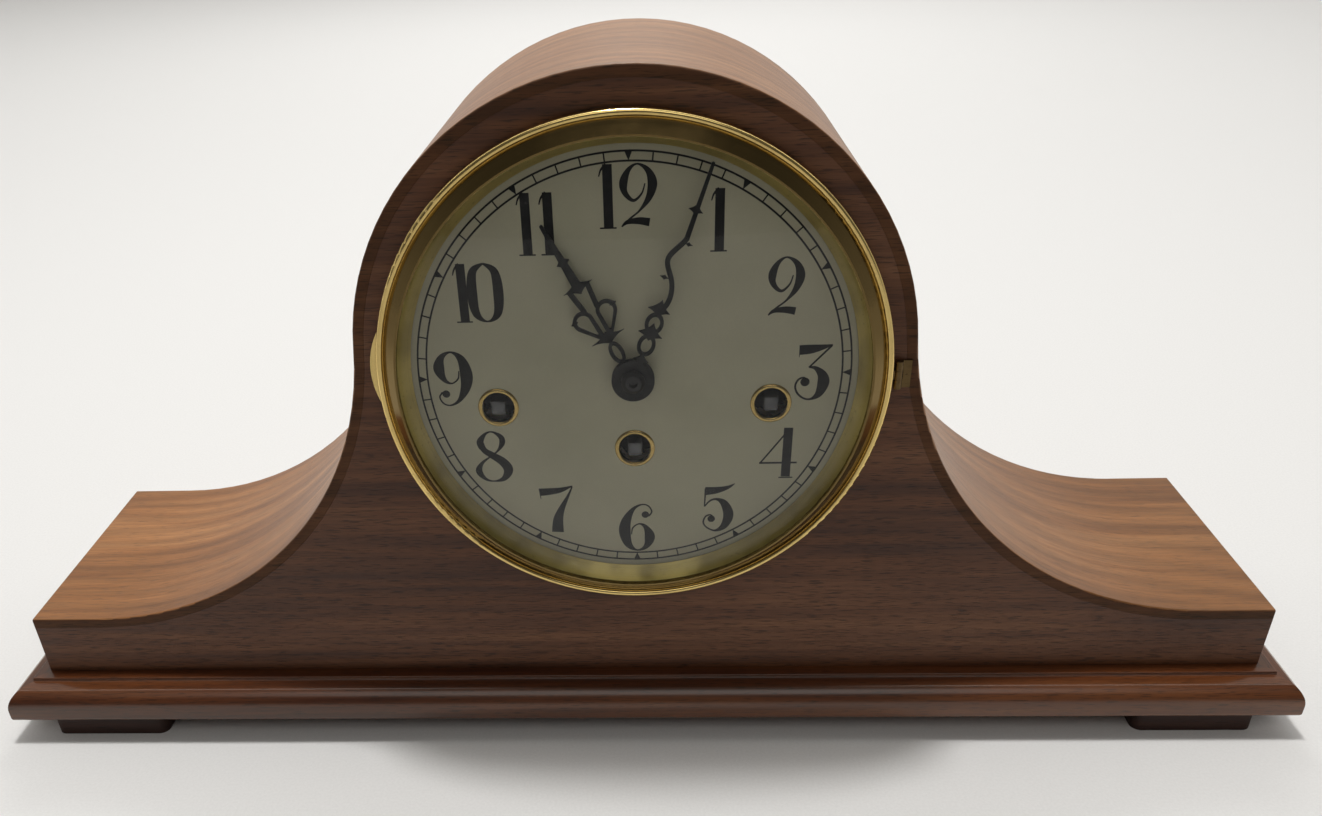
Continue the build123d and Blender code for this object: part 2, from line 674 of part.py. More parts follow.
BEZEL_BAND_RADIUS = BEZEL_RADIUS - BEZEL_BEAD - BEZEL_BAND
BEZEL_LIP_Y = FRONT_Y - BEZEL_LIP_HEIGHT
BEAD_MIDDLE_Y = FRONT_Y - BEZEL_BEAD_HEIGHT + BEZEL_BEAD / 2
with BuildPart() as bezel_ring:
    with BuildSketch(Plane(origin=(0, 0, DIAL_Z))):
        with BuildLine():
            seat_y = FRONT_Y - BEZEL_SEAT_GAP
            bead_inner = BEZEL_RADIUS - BEZEL_BEAD
            Line((BEZEL_RADIUS, seat_y), (BEZEL_RADIUS, BEAD_MIDDLE_Y))
            ThreePointArc(
                (BEZEL_RADIUS, BEAD_MIDDLE_Y),
                (BEZEL_RADIUS - BEZEL_BEAD / 2, FRONT_Y - BEZEL_BEAD_HEIGHT),
                (bead_inner, BEAD_MIDDLE_Y),
            )
            Polyline(
                (bead_inner, BEAD_MIDDLE_Y),
                (BEZEL_BAND_RADIUS, BEZEL_LIP_Y),
                (BEZEL_BAND_RADIUS - BEZEL_LIP, BEZEL_LIP_Y),
                (BEZEL_BAND_RADIUS - BEZEL_LIP, BEZEL_LIP_Y + BEZEL_LIP_DEPTH),
                (BEZEL_BAND_RADIUS + GLASS_OVERLAP, BEZEL_LIP_Y + BEZEL_LIP_DEPTH),
                (BEZEL_BAND_RADIUS + GLASS_OVERLAP, BEAD_MIDDLE_Y + BEZEL_SHEET),
                (BEZEL_RADIUS - BEZEL_SHEET, BEAD_MIDDLE_Y + BEZEL_SHEET),
                (BEZEL_RADIUS - BEZEL_SHEET, seat_y),
                (BEZEL_RADIUS, seat_y),
            )
        make_face()
    revolve(axis=Axis((0, 0, DIAL_Z), (0, 1, 0)))
save(bezel_ring.part, "bezel_ring")

GLASS_RIM_RADIUS = BEZEL_BAND_RADIUS + GLASS_OVERLAP - SIDE_PLAY
GLASS_SEAT_Y = BEAD_MIDDLE_Y + BEZEL_SHEET
GLASS_RIM_Y = GLASS_SEAT_Y - GLASS_THICKNESS
GLASS_SPHERE = (GLASS_RIM_RADIUS ** 2 + GLASS_CROWN ** 2) / (2 * GLASS_CROWN)


def crown_at(radius):
    """How far the dome stands in front of its rim at a radius."""
    return sqrt(GLASS_SPHERE ** 2 - radius ** 2) - GLASS_SPHERE + GLASS_CROWN


with BuildPart() as bezel_glass:
    with BuildSketch(Plane(origin=(0, 0, DIAL_Z))):
        with BuildLine():
            half_way = GLASS_RIM_RADIUS / 2
            for depth in (0, GLASS_THICKNESS):
                ThreePointArc(
                    (0, GLASS_RIM_Y - GLASS_CROWN + depth),
                    (half_way, GLASS_RIM_Y - crown_at(half_way) + depth),
                    (GLASS_RIM_RADIUS, GLASS_RIM_Y + depth),
                )
            Line((GLASS_RIM_RADIUS, GLASS_RIM_Y), (GLASS_RIM_RADIUS, GLASS_RIM_Y + GLASS_THICKNESS))
            Line((0, GLASS_RIM_Y - GLASS_CROWN), (0, GLASS_RIM_Y - GLASS_CROWN + GLASS_THICKNESS))
        make_face()
    revolve(axis=Axis((0, 0, DIAL_Z), (0, 1, 0)))
save(bezel_glass.part, "bezel_glass")

# The sloping reflector ring hangs in the bezel and holds the glass in from behind
reflector_outer = REFLECTOR_INNER_RADIUS + REFLECTOR_WIDTH
reflector_ring = turned(
    [
        (REFLECTOR_INNER_RADIUS, DIAL_FACE_Y - SIDE_PLAY),
        (reflector_outer, GLASS_SEAT_Y),
        (BEZEL_RADIUS - BEZEL_SHEET, GLASS_SEAT_Y),
        (BEZEL_RADIUS - BEZEL_SHEET, GLASS_SEAT_Y + REFLECTOR_SHEET),
        (reflector_outer + REFLECTOR_SHEET, GLASS_SEAT_Y + REFLECTOR_SHEET),
        (REFLECTOR_INNER_RADIUS + REFLECTOR_SHEET, DIAL_FACE_Y - SIDE_PLAY),
    ],
    CENTRE,
)
save(reflector_ring, "reflector_ring")

with BuildPart() as bezel_thumb_tab:
    with BuildSketch(facing(FRONT_Y - TAB_THICKNESS, CENTRE)):
        with Locations(polar((0, 0), BEZEL_RADIUS + TAB_PROUD - TAB_RADIUS, TAB_ANGLE)):
            Circle(TAB_RADIUS)
        Circle(BEZEL_RADIUS, mode=Mode.SUBTRACT)
    extrude(amount=TAB_THICKNESS)
save(bezel_thumb_tab.part, "bezel_thumb_tab")

BEZEL_HINGE_AXIS = (BEZEL_RADIUS + BEZEL_HINGE_OFFSET, FRONT_Y - BEZEL_HINGE_BARREL_RADIUS)
CASE_LEAF = (BEZEL_HINGE_LEAF_WIDTH, BEZEL_HINGE_LEAF_THICKNESS, FRONT_Y, -1)
bezel_hinge_case_leaf = hinge_leaf(
    BEZEL_HINGE_AXIS, DIAL_Z, BEZEL_HINGE_HEIGHT, CASE_LEAF,
    BEZEL_HINGE_BARREL_RADIUS, BEZEL_HINGE_PIN_RADIUS, 1, False,
)
save(bezel_hinge_case_leaf, "bezel_hinge_case_leaf")

with BuildPart() as bezel_hinge_bezel_leaf:
    with BuildSketch(Plane(origin=(BEZEL_HINGE_AXIS[0], BEZEL_HINGE_AXIS[1], DIAL_Z))):
        Circle(BEZEL_HINGE_BARREL_RADIUS)
        leaf_half = BEZEL_HINGE_LEAF_THICKNESS / 2
        with Locations((-BEZEL_HINGE_OFFSET, 0)):
            Rectangle(2 * BEZEL_HINGE_OFFSET, 2 * leaf_half)
        Circle(BEZEL_HINGE_PIN_RADIUS + RUNNING, mode=Mode.SUBTRACT)
    extrude(amount=BEZEL_HINGE_HEIGHT / 6 - RUNNING, both=True)
    with BuildSketch(facing(BACK_Y, CENTRE)):
        Circle(BEZEL_RADIUS)
    extrude(amount=2 * BODY_DEPTH, mode=Mode.SUBTRACT)
save(bezel_hinge_bezel_leaf.part, "bezel_hinge_bezel_leaf")
save(
    hinge_pin(BEZEL_HINGE_AXIS, DIAL_Z, BEZEL_HINGE_HEIGHT, BEZEL_HINGE_PIN_RADIUS),
    "bezel_hinge_pin",
)


# Hands: pierced serpentine outlines, drawn pointing at twelve

HOUR_HAND_BACK_Y = DIAL_FACE_Y - HOUR_HAND_STANDOFF
MINUTE_HAND_BACK_Y = HOUR_HAND_BACK_Y - HAND_THICKNESS - HAND_SPACING
CANNON_PIPE_RADIUS = ARBOR_RADIUS + RUNNING + CANNON_PIPE_WALL


def star(place, half_width, rise, drop):
    """A four-pointed barb with hollow sides."""
    x, y = place
    corners = [(x - half_width, y), (x, y + rise), (x + half_width, y), (x, y - drop)]
    with BuildSketch() as barb:
        with BuildLine():
            for i, start in enumerate(corners):
                end = corners[(i + 1) % len(corners)]
                hollow = STAR_HOLLOW_SHARE * hypot(end[0] - start[0], end[1] - start[1])
                SagittaArc(start, end, -hollow)
        make_face()
    return barb.sketch


STAR_HOLLOW_SHARE = 0.08

# Along the minute hand, as shares of its length: boss barb, two loops, two barbs, arrow
MINUTE_LOOP_SHARES = ((0.18, 0.040, 0.052), (0.285, 0.041, 0.050))
MINUTE_STAR_SHARES = ((0.105, 0.036), (0.232, 0.055), (0.347, 0.050), (0.80, 0.032))
MINUTE_STEM_SHARES = (
    (0.000, 0.34), (0.023, 0.44), (0.000, 0.50), (-0.040, 0.57), (-0.008, 0.65), (0.005, 0.68),
)
MINUTE_SPUR_SHARES = ((-0.018, 0.495, -0.020), (0.012, 0.66, 0.018))
LOOP_WALL = 1.3

# Along the hour hand, as shares of its length
HOUR_LOOP_SHARES = ((0.185, 0.040, 0.070),)
HOUR_STAR_SHARES = ((0.287, 0.104, 0.038), (0.618, 0.092, 0.040), (0.775, 0.040, 0.045))
HOUR_DROP_SHARES = ((0.026, 0.305, 0.016), (0.074, 0.432, 0.060))
HOUR_SPUR_SHARES = (0.123, 0.447, 0.022)
HOUR_BAR_SHARES = ((0.040, 0.480), (0.056, 0.610))


def pierced_loop(place, half_width, half_height):
    """An upright oval ring."""
    with BuildSketch() as loop:
        with Locations(place):
            Ellipse(half_width, half_height)
            Ellipse(half_width - LOOP_WALL, half_height - LOOP_WALL, mode=Mode.SUBTRACT)
    return loop.sketch


def neck(loop_shares, length):
    """A bar inside the hand, from the middle of the boss to the foot of the first loop."""
    along, half_width, half_height = loop_shares[0]
    foot = (along - half_height) * length + LOOP_WALL / 2
    return link((0, 0), HAND_TIP / 2, (0, foot), HAND_TIP / 2)


def minute_outline():
    """Serpentine minute hand."""
    length = MINUTE_HAND_LENGTH
    with BuildSketch() as hand:
        Circle(HAND_BOSS_RADIUS)
        add(neck(MINUTE_LOOP_SHARES, length))
        for along, half_width, half_height in MINUTE_LOOP_SHARES:
            add(pierced_loop((0, along * length), half_width * length, half_height * length))
        for along, half_width in MINUTE_STAR_SHARES:
            reach = half_width * length
            add(star((0, along * length), reach, reach, reach / 2))
        with BuildLine() as stem:
            Spline(*[(x * length, y * length) for x, y in MINUTE_STEM_SHARES])
        trace(stem.line, line_width=HAND_STEM)
        for x, along, spur in MINUTE_SPUR_SHARES:
            reach = abs(spur) * length
            add(star(((x + spur / 2) * length, along * length), reach, reach / 2, reach / 2))
        foot_x, foot_along = MINUTE_STEM_SHARES[-1]
        add(link((foot_x * length, foot_along * length), HAND_STEM / 2, (0, length), HAND_TIP / 2))
        Circle(CANNON_PIPE_RADIUS, mode=Mode.SUBTRACT)
    return hand.sketch


def hour_outline():
    """Hour hand with a pair of scrolled loops under an open shield."""
    length = HOUR_HAND_LENGTH
    with BuildSketch() as hand:
        Circle(HAND_BOSS_RADIUS)
        add(neck(HOUR_LOOP_SHARES, length))
        for along, half_width, half_height in HOUR_LOOP_SHARES:
            add(pierced_loop((0, along * length), half_width * length, half_height * length))
        for along, half_width, rise in HOUR_STAR_SHARES:
            add(star((0, along * length), half_width * length, rise * length, rise * length))
        for side in (-1, 1):
            (x0, y0, r0), (x1, y1, r1) = HOUR_DROP_SHARES
            low = (side * x0 * length, y0 * length)
            high = (side * x1 * length, y1 * length)
            add(link(low, r0 * length, high, r1 * length))
        for side in (-1, 1):
            low = (side * (x0 + r0) * length, (y0 + 2 * r0) * length)
            high = (side * x1 * length, y1 * length)
            add(link(low, r0 * length / 2, high, r1 * length - LOOP_WALL), mode=Mode.SUBTRACT)
            spur_x, spur_along, spur = HOUR_SPUR_SHARES
            spur_size = spur * length
            add(star((side * spur_x * length, spur_along * length), spur_size, spur_size, spur_size))
            (bar_x0, bar_y0), (bar_x1, bar_y1) = HOUR_BAR_SHARES
            bar_low = (side * bar_x0 * length, bar_y0 * length)
            bar_high = (side * bar_x1 * length, bar_y1 * length)
            add(link(bar_low, HAND_STEM / 2, bar_high, HAND_STEM / 2))
        shield_along = HOUR_STAR_SHARES[1][0] * length
        add(link((0, shield_along), HAND_STEM, (0, length), HAND_TIP / 2))
        Circle(HOUR_PIPE_RADIUS, mode=Mode.SUBTRACT)
    return hand.sketch


def hand(outline, y_back, angle):
    """A hand cut from sheet and turned clockwise from twelve."""
    with BuildPart() as piece:
        with BuildSketch(facing(y_back, CENTRE, angle)):
            add(outline)
        extrude(amount=HAND_THICKNESS)
    return piece.part


save(hand(minute_outline(), MINUTE_HAND_BACK_Y, MINUTE_HAND_ANGLE), "minute_hand")
save(hand(hour_outline(), HOUR_HAND_BACK_Y, HOUR_HAND_ANGLE), "hour_hand")

NUT_BACK_Y = MINUTE_HAND_BACK_Y - HAND_THICKNESS
hand_nut = turned(
    [
        (CANNON_PIPE_RADIUS, NUT_BACK_Y),
        (NUT_RADIUS, NUT_BACK_Y),
        (NUT_RADIUS, NUT_BACK_Y - NUT_HEIGHT / 2),
        (NUT_RADIUS - NUT_HEIGHT / 2, NUT_BACK_Y - NUT_HEIGHT),
        (CANNON_PIPE_RADIUS, NUT_BACK_Y - NUT_HEIGHT),
    ],
    CENTRE,
)
save(hand_nut, "hand_nut")


# Motion work in front of the front plate

CANNON_BACK_Y = PLATE_FRONT_Y - SIDE_PLAY
MINUTE_WHEEL_BACK_Y = CANNON_BACK_Y - WHEEL_THICKNESS
MINUTE_WHEEL_FRONT_Y = MINUTE_WHEEL_BACK_Y - WHEEL_THICKNESS
CANNON_FRONT_Y = MINUTE_WHEEL_FRONT_Y - SIDE_PLAY
HOUR_WHEEL_BACK_Y = CANNON_FRONT_Y - SIDE_PLAY
HOUR_WHEEL_FRONT_Y = HOUR_WHEEL_BACK_Y - WHEEL_THICKNESS

with BuildPart() as cannon_pinion:
    bore = ARBOR_RADIUS + RUNNING
    add(
        pinion(
            CANNON_TEETH, MINUTE_MODULE, MINUTE_DIRECTION, CENTRE, CANNON_FRONT_Y, CANNON_BACK_Y, bore,
        )
    )
    add(
        turned(
            [
                (bore, CANNON_FRONT_Y),
                (CANNON_PIPE_RADIUS, CANNON_FRONT_Y),
                (CANNON_PIPE_RADIUS, NUT_BACK_Y - NUT_HEIGHT),
                (bore, NUT_BACK_Y - NUT_HEIGHT),
            ],
            CENTRE,
        )
    )
save(cannon_pinion.part, "cannon_pinion")

with BuildPart() as minute_wheel:
    bore = STUD_RADIUS + RUNNING
    back = MINUTE_DIRECTION + 180
    add(
        wheel(
            MINUTE_TEETH, MINUTE_MODULE, back, MINUTE_AXIS, MINUTE_WHEEL_FRONT_Y, MINUTE_WHEEL_BACK_Y, bore,
        )
    )
    add(
        pinion(
            MINUTE_PINION_TEETH, HOUR_MODULE, back, MINUTE_AXIS,
            HOUR_WHEEL_FRONT_Y - SIDE_PLAY, MINUTE_WHEEL_FRONT_Y, bore,
        )
    )
save(minute_wheel.part, "minute_wheel")

with BuildPart() as hour_wheel:
    bore = CANNON_PIPE_RADIUS + RUNNING
    add(
        wheel(
            HOUR_TEETH, HOUR_MODULE, MINUTE_DIRECTION, CENTRE, HOUR_WHEEL_FRONT_Y, HOUR_WHEEL_BACK_Y, bore,
        )
    )
    add(
        turned(
            [
                (bore, HOUR_WHEEL_FRONT_Y),
                (HOUR_PIPE_RADIUS, HOUR_WHEEL_FRONT_Y),
                (HOUR_PIPE_RADIUS, HOUR_HAND_BACK_Y - HAND_THICKNESS),
                (bore, HOUR_HAND_BACK_Y - HAND_THICKNESS),
            ],
            CENTRE,
        )
    )
save(hour_wheel.part, "hour_wheel")


# Going train between the plates

GREAT_BACK_Y = BARREL_BACK_Y
GREAT_FRONT_Y = GREAT_BACK_Y - GREAT_WHEEL_THICKNESS
CENTRE_PINION_FRONT_Y = GREAT_FRONT_Y - SIDE_PLAY
CENTRE_PINION_BACK_Y = GREAT_BACK_Y + SIDE_PLAY
CENTRE_WHEEL_BACK_Y = BACK_PLATE_Y - PINION_LENGTH
CENTRE_WHEEL_FRONT_Y = CENTRE_WHEEL_BACK_Y - WHEEL_THICKNESS
THIRD_WHEEL_BACK_Y = GREAT_FRONT_Y - PINION_LENGTH / 2
THIRD_WHEEL_FRONT_Y = THIRD_WHEEL_BACK_Y - WHEEL_THICKNESS
ESCAPE_WHEEL_BACK_Y = (PLATE_INNER_Y + THIRD_WHEEL_FRONT_Y) / 2
ESCAPE_WHEEL_FRONT_Y = ESCAPE_WHEEL_BACK_Y - WHEEL_THICKNESS
BALANCE_BACK_Y = (PLATE_INNER_Y + ESCAPE_WHEEL_FRONT_Y + WHEEL_THICKNESS) / 2


def arbor(place):
    """An arbor between the plates, with a thin pivot running in each plate."""
    return turned(
        [
            (0, PLATE_FRONT_Y),
            (PIVOT_RADIUS, PLATE_FRONT_Y),
            (PIVOT_RADIUS, PLATE_INNER_Y + SIDE_PLAY),
            (ARBOR_RADIUS, PLATE_INNER_Y + SIDE_PLAY),
            (ARBOR_RADIUS, BACK_PLATE_Y - SIDE_PLAY),
            (PIVOT_RADIUS, BACK_PLATE_Y - SIDE_PLAY),
            (PIVOT_RADIUS, BACK_PLATE_OUTER_Y),
            (0, BACK_PLATE_OUTER_Y),
        ],
        place,
    )


def crossed_wheel(teeth, module, towards, place, y_front, y_back):
    """A wheel with four arms between its hub and its rim."""
    root = module * (teeth / 2 - WHEEL_TOOTH_SHARES[1])
    with BuildPart() as piece:
        add(wheel(teeth, module, towards, place, y_front, y_back, ARBOR_RADIUS))
        windows = crossing(
            place, 2 * ARBOR_RADIUS + module, root - 2 * module, WHEEL_ARMS, 3 * module, y_front, y_back
        )
        add(windows, mode=Mode.SUBTRACT)
    return piece.part


WHEEL_ARMS = 4

with BuildPart() as centre_wheel:
    add(
        turned(
            [
                (0, NUT_BACK_Y),
                (ARBOR_RADIUS, NUT_BACK_Y),
                (ARBOR_RADIUS, BACK_PLATE_Y - SIDE_PLAY),
                (PIVOT_RADIUS, BACK_PLATE_Y - SIDE_PLAY),
                (PIVOT_RADIUS, BACK_PLATE_OUTER_Y),
                (0, BACK_PLATE_OUTER_Y),
            ],
            CENTRE,
        )
    )
    add(
        pinion(
            CENTRE_PINION_TEETH, GREAT_MODULE, -90, CENTRE,
            CENTRE_PINION_FRONT_Y, CENTRE_PINION_BACK_Y, ARBOR_RADIUS,
        )
    )
    add(
        crossed_wheel(
            CENTRE_TEETH, CENTRE_MODULE, THIRD_DIRECTION, CENTRE, CENTRE_WHEEL_FRONT_Y, CENTRE_WHEEL_BACK_Y,
        )
    )
save(centre_wheel.part, "centre_wheel")

with BuildPart() as third_wheel:
    add(arbor(THIRD_AXIS))
    add(
        pinion(
            THIRD_PINION_TEETH, CENTRE_MODULE, THIRD_DIRECTION + 180, THIRD_AXIS,
            CENTRE_WHEEL_FRONT_Y - SIDE_PLAY, CENTRE_WHEEL_BACK_Y + SIDE_PLAY, ARBOR_RADIUS,
        )
    )
    add(
        crossed_wheel(
            THIRD_TEETH, THIRD_MODULE, ESCAPE_DIRECTION, THIRD_AXIS, THIRD_WHEEL_FRONT_Y, THIRD_WHEEL_BACK_Y,
        )
    )
save(third_wheel.part, "third_wheel")


def saw_outline(teeth, tip, tooth):
    """Corner points of a disc with hooked teeth, as on a ratchet or an escape wheel."""
    step = 360 / teeth
    points = []
    for i in range(teeth):
        points.append(polar((0, 0), tip, i * step))
        points.append(polar((0, 0), tip - tooth, i * step + step / 8))
    return points


ESCAPE_TOOTH_SHARE = 0.28
with BuildPart() as escape_wheel:
    add(arbor(ESCAPE_AXIS))
    add(
        pinion(
            ESCAPE_PINION_TEETH, THIRD_MODULE, ESCAPE_DIRECTION + 180, ESCAPE_AXIS,
            THIRD_WHEEL_FRONT_Y - SIDE_PLAY, THIRD_WHEEL_BACK_Y + SIDE_PLAY, ARBOR_RADIUS,
        )
    )
    with BuildSketch(facing(ESCAPE_WHEEL_BACK_Y, ESCAPE_AXIS)):
        with BuildLine():
            Polyline(
                *saw_outline(ESCAPE_TEETH, ESCAPE_RADIUS, ESCAPE_TOOTH_SHARE * ESCAPE_RADIUS), close=True
            )
        make_face()
    extrude(amount=WHEEL_THICKNESS)
save(escape_wheel.part, "escape_wheel")

with BuildPart() as pallet_lever:
    add(arbor(ANCHOR_AXIS))
    with BuildSketch(facing(ESCAPE_WHEEL_BACK_Y)):
        for side in (-1, 1):
            pallet_distance = ESCAPE_RADIUS + PALLET_GAP + PALLET_RADIUS
            pallet = polar(ESCAPE_AXIS, pallet_distance, ANCHOR_DIRECTION + side * ANCHOR_ANGLE)
            add(link(ANCHOR_AXIS, ANCHOR_HUB_RADIUS, pallet, PALLET_RADIUS))
        fork_reach = BALANCE_SPACING - ARBOR_RADIUS - PALLET_GAP - PALLET_RADIUS
        fork = polar(ANCHOR_AXIS, fork_reach, BALANCE_DIRECTION)
        add(link(ANCHOR_AXIS, ANCHOR_HUB_RADIUS / 2, fork, PALLET_RADIUS))
    extrude(amount=WHEEL_THICKNESS)
save(pallet_lever.part, "pallet_lever")

with BuildPart() as balance_wheel:
    add(arbor(BALANCE_AXIS))
    with BuildSketch(facing(BALANCE_BACK_Y, BALANCE_AXIS)):
        Circle(BALANCE_RADIUS)
        Circle(BALANCE_RADIUS - BALANCE_RIM, mode=Mode.SUBTRACT)
        Rectangle(2 * BALANCE_RADIUS - BALANCE_RIM, BALANCE_ARM)
    extrude(amount=WHEEL_THICKNESS)
save(balance_wheel.part, "balance_wheel")


# Barrels with their great wheels, mainsprings and winding arbors

def barrel(place, great_front_y, great_back_y, towards):
    """A drum with a great wheel round one end, open inside for the spring."""
    bore = WINDING_ARBOR_RADIUS + RUNNING
    inner = BARREL_RADIUS - BARREL_WALL
    with BuildPart() as piece:
        add(
            turned(
                [
                    (bore, BARREL_FRONT_Y),
                    (BARREL_RADIUS, BARREL_FRONT_Y),
                    (BARREL_RADIUS, BARREL_BACK_Y),
                    (bore, BARREL_BACK_Y),
                    (bore, BARREL_BACK_Y - BARREL_WALL),
                    (inner, BARREL_BACK_Y - BARREL_WALL),
                    (inner, BARREL_FRONT_Y + BARREL_WALL),
                    (bore, BARREL_FRONT_Y + BARREL_WALL),
                ],
                place,
            )
        )
        add(wheel(GREAT_TEETH, GREAT_MODULE, towards, place, great_front_y, great_back_y, BARREL_RADIUS))
    return piece.part


def mainspring(place):
    """The coiled spring as one closed ring."""
    front = BARREL_FRONT_Y + BARREL_WALL + SPRING_CLEARANCE
    back = BARREL_BACK_Y - BARREL_WALL - SPRING_CLEARANCE
    inner = ARBOR_CORE_RADIUS + SPRING_CLEARANCE
    outer = BARREL_RADIUS - BARREL_WALL - SPRING_CLEARANCE
    return turned([(inner, front), (outer, front), (outer, back), (inner, back)], place)


RATCHET_BACK_Y = PLATE_FRONT_Y - RATCHET_STANDOFF
KEY_END_Y = DIAL_FACE_Y - KEY_SQUARE_PROUD


def winding_arbor(place):
    """A squared winding arbor with its ratchet wheel and the core inside the barrel."""
    core_front = BARREL_FRONT_Y + BARREL_WALL + SPRING_CLEARANCE
    core_back = BARREL_BACK_Y - BARREL_WALL - SPRING_CLEARANCE
    with BuildPart() as piece:
        add(
            turned(
                [
                    (0, KEY_END_Y + KEY_SQUARE_LENGTH),
                    (WINDING_ARBOR_RADIUS, KEY_END_Y + KEY_SQUARE_LENGTH),
                    (WINDING_ARBOR_RADIUS, core_front),
                    (ARBOR_CORE_RADIUS, core_front),
                    (ARBOR_CORE_RADIUS, core_back),
                    (WINDING_ARBOR_RADIUS, core_back),
                    (WINDING_ARBOR_RADIUS, BACK_PLATE_OUTER_Y),
                    (0, BACK_PLATE_OUTER_Y),
                ],
                place,
            )
        )
        with BuildSketch(facing(KEY_END_Y + KEY_SQUARE_LENGTH, place)):
            Rectangle(KEY_SQUARE, KEY_SQUARE)
        extrude(amount=KEY_SQUARE_LENGTH)
        with BuildSketch(facing(RATCHET_BACK_Y, place)):
            with BuildLine():
                Polyline(*saw_outline(RATCHET_TEETH, RATCHET_RADIUS, RATCHET_TOOTH), close=True)
            make_face()
        extrude(amount=RATCHET_THICKNESS)
    return piece.part


CLICK_DIRECTIONS = {"time": 60.0, "strike": 60.0, "chime": 120.0}


def click_pivot(train):
    """Where the click of a train pivots on the front plate."""
    return polar(WINDING_AXES[train], CLICK_REACH, CLICK_DIRECTIONS[train])


def click(train):
    """The pawl beside a ratchet wheel."""
    nose_distance = RATCHET_RADIUS + CLICK_GAP + CLICK_NOSE_RADIUS
    nose = polar(WINDING_AXES[train], nose_distance, CLICK_DIRECTIONS[train] + CLICK_SPREAD)
    pivot = click_pivot(train)
    with BuildPart() as piece:
        with BuildSketch(facing(RATCHET_BACK_Y)):
            add(link(pivot, CLICK_HUB_RADIUS, nose, CLICK_NOSE_RADIUS))
            with Locations(pivot):
                Circle(STUD_RADIUS + RUNNING, mode=Mode.SUBTRACT)
        extrude(amount=RATCHET_THICKNESS)
    return piece.part


SIDE_GREAT_FRONT_Y = BARREL_FRONT_Y
SIDE_GREAT_BACK_Y = SIDE_GREAT_FRONT_Y + GREAT_WHEEL_THICKNESS
save(barrel(TIME_AXIS, GREAT_FRONT_Y, GREAT_BACK_Y, 90), "time_barrel")
save(barrel(STRIKE_AXIS, SIDE_GREAT_FRONT_Y, SIDE_GREAT_BACK_Y, STRIKE_WHEEL_DIRECTION), "strike_barrel")
save(barrel(CHIME_AXIS, SIDE_GREAT_FRONT_Y, SIDE_GREAT_BACK_Y, CHIME_DRUM_DIRECTION), "chime_barrel")
for train, place in WINDING_AXES.items():
    save(mainspring(place), f"{train}_mainspring")
    save(winding_arbor(place), f"{train}_winding_arbor")
    save(click(train), f"{train}_click")


# Strike pin wheel and chime drum, each driven by its great wheel

DRUM_PINION_FRONT_Y = SIDE_GREAT_FRONT_Y - SIDE_PLAY
DRUM_PINION_BACK_Y = SIDE_GREAT_BACK_Y + SIDE_PLAY
PIN_WHEEL_FRONT_Y = BARREL_BACK_Y + BARREL_CLEARANCE
PIN_WHEEL_BACK_Y = PIN_WHEEL_FRONT_Y + WHEEL_THICKNESS

with BuildPart() as strike_pin_wheel:
    add(arbor(STRIKE_WHEEL_AXIS))
    add(
        pinion(
            DRUM_PINION_TEETH, GREAT_MODULE, STRIKE_WHEEL_DIRECTION + 180, STRIKE_WHEEL_AXIS,
            DRUM_PINION_FRONT_Y, DRUM_PINION_BACK_Y, ARBOR_RADIUS,
        )
    )
    with BuildSketch(facing(PIN_WHEEL_BACK_Y, STRIKE_WHEEL_AXIS)):
        Circle(PIN_WHEEL_RADIUS)
    extrude(amount=WHEEL_THICKNESS)
    with BuildSketch(facing(PIN_WHEEL_BACK_Y + 2 * WHEEL_THICKNESS, STRIKE_WHEEL_AXIS)):
        with PolarLocations(PIN_WHEEL_RADIUS - 2 * PIVOT_RADIUS, PIN_WHEEL_PINS):
            Circle(PIVOT_RADIUS)
    extrude(amount=2 * WHEEL_THICKNESS)
save(strike_pin_wheel.part, "strike_pin_wheel")

with BuildPart() as chime_drum:
    add(
        turned(
            [
                (0, PLATE_FRONT_Y),
                (PIVOT_RADIUS, PLATE_FRONT_Y),
                (PIVOT_RADIUS, PLATE_INNER_Y + SIDE_PLAY),
                (ARBOR_RADIUS, PLATE_INNER_Y + SIDE_PLAY),
                (ARBOR_RADIUS, BACK_PLATE_OUTER_Y + SIDE_PLAY),
                (DRUM_CORE_RADIUS, BACK_PLATE_OUTER_Y + SIDE_PLAY),
                (DRUM_CORE_RADIUS, HAMMER_YS[-1] + DRUM_CAM_WIDTH),
                (0, HAMMER_YS[-1] + DRUM_CAM_WIDTH),
            ],
            DRUM_AXIS,
        )
    )
    add(
        pinion(
            DRUM_PINION_TEETH, GREAT_MODULE, CHIME_DRUM_DIRECTION + 180, DRUM_AXIS,
            DRUM_PINION_FRONT_Y, DRUM_PINION_BACK_Y, ARBOR_RADIUS,
        )
    )
    lobe_place = DRUM_CAM_RADIUS - DRUM_LOBE_RADIUS
    for number, y in enumerate(HAMMER_YS):
        first_lobe = number * 360 / DRUM_LOBES / HAMMERS
        with BuildSketch(facing(y + DRUM_CAM_WIDTH / 2, DRUM_AXIS)):
            Circle(DRUM_CORE_RADIUS)
            with PolarLocations(lobe_place, DRUM_LOBES, first_lobe):
                Circle(DRUM_LOBE_RADIUS)
        extrude(amount=DRUM_CAM_WIDTH)
save(chime_drum.part, "chime_drum")


# Plates, pillars and the straps that hold the movement to the front panel

PLAIN_PIVOTS = (THIRD_AXIS, ESCAPE_AXIS, ANCHOR_AXIS, BALANCE_AXIS, STRIKE_WHEEL_AXIS)


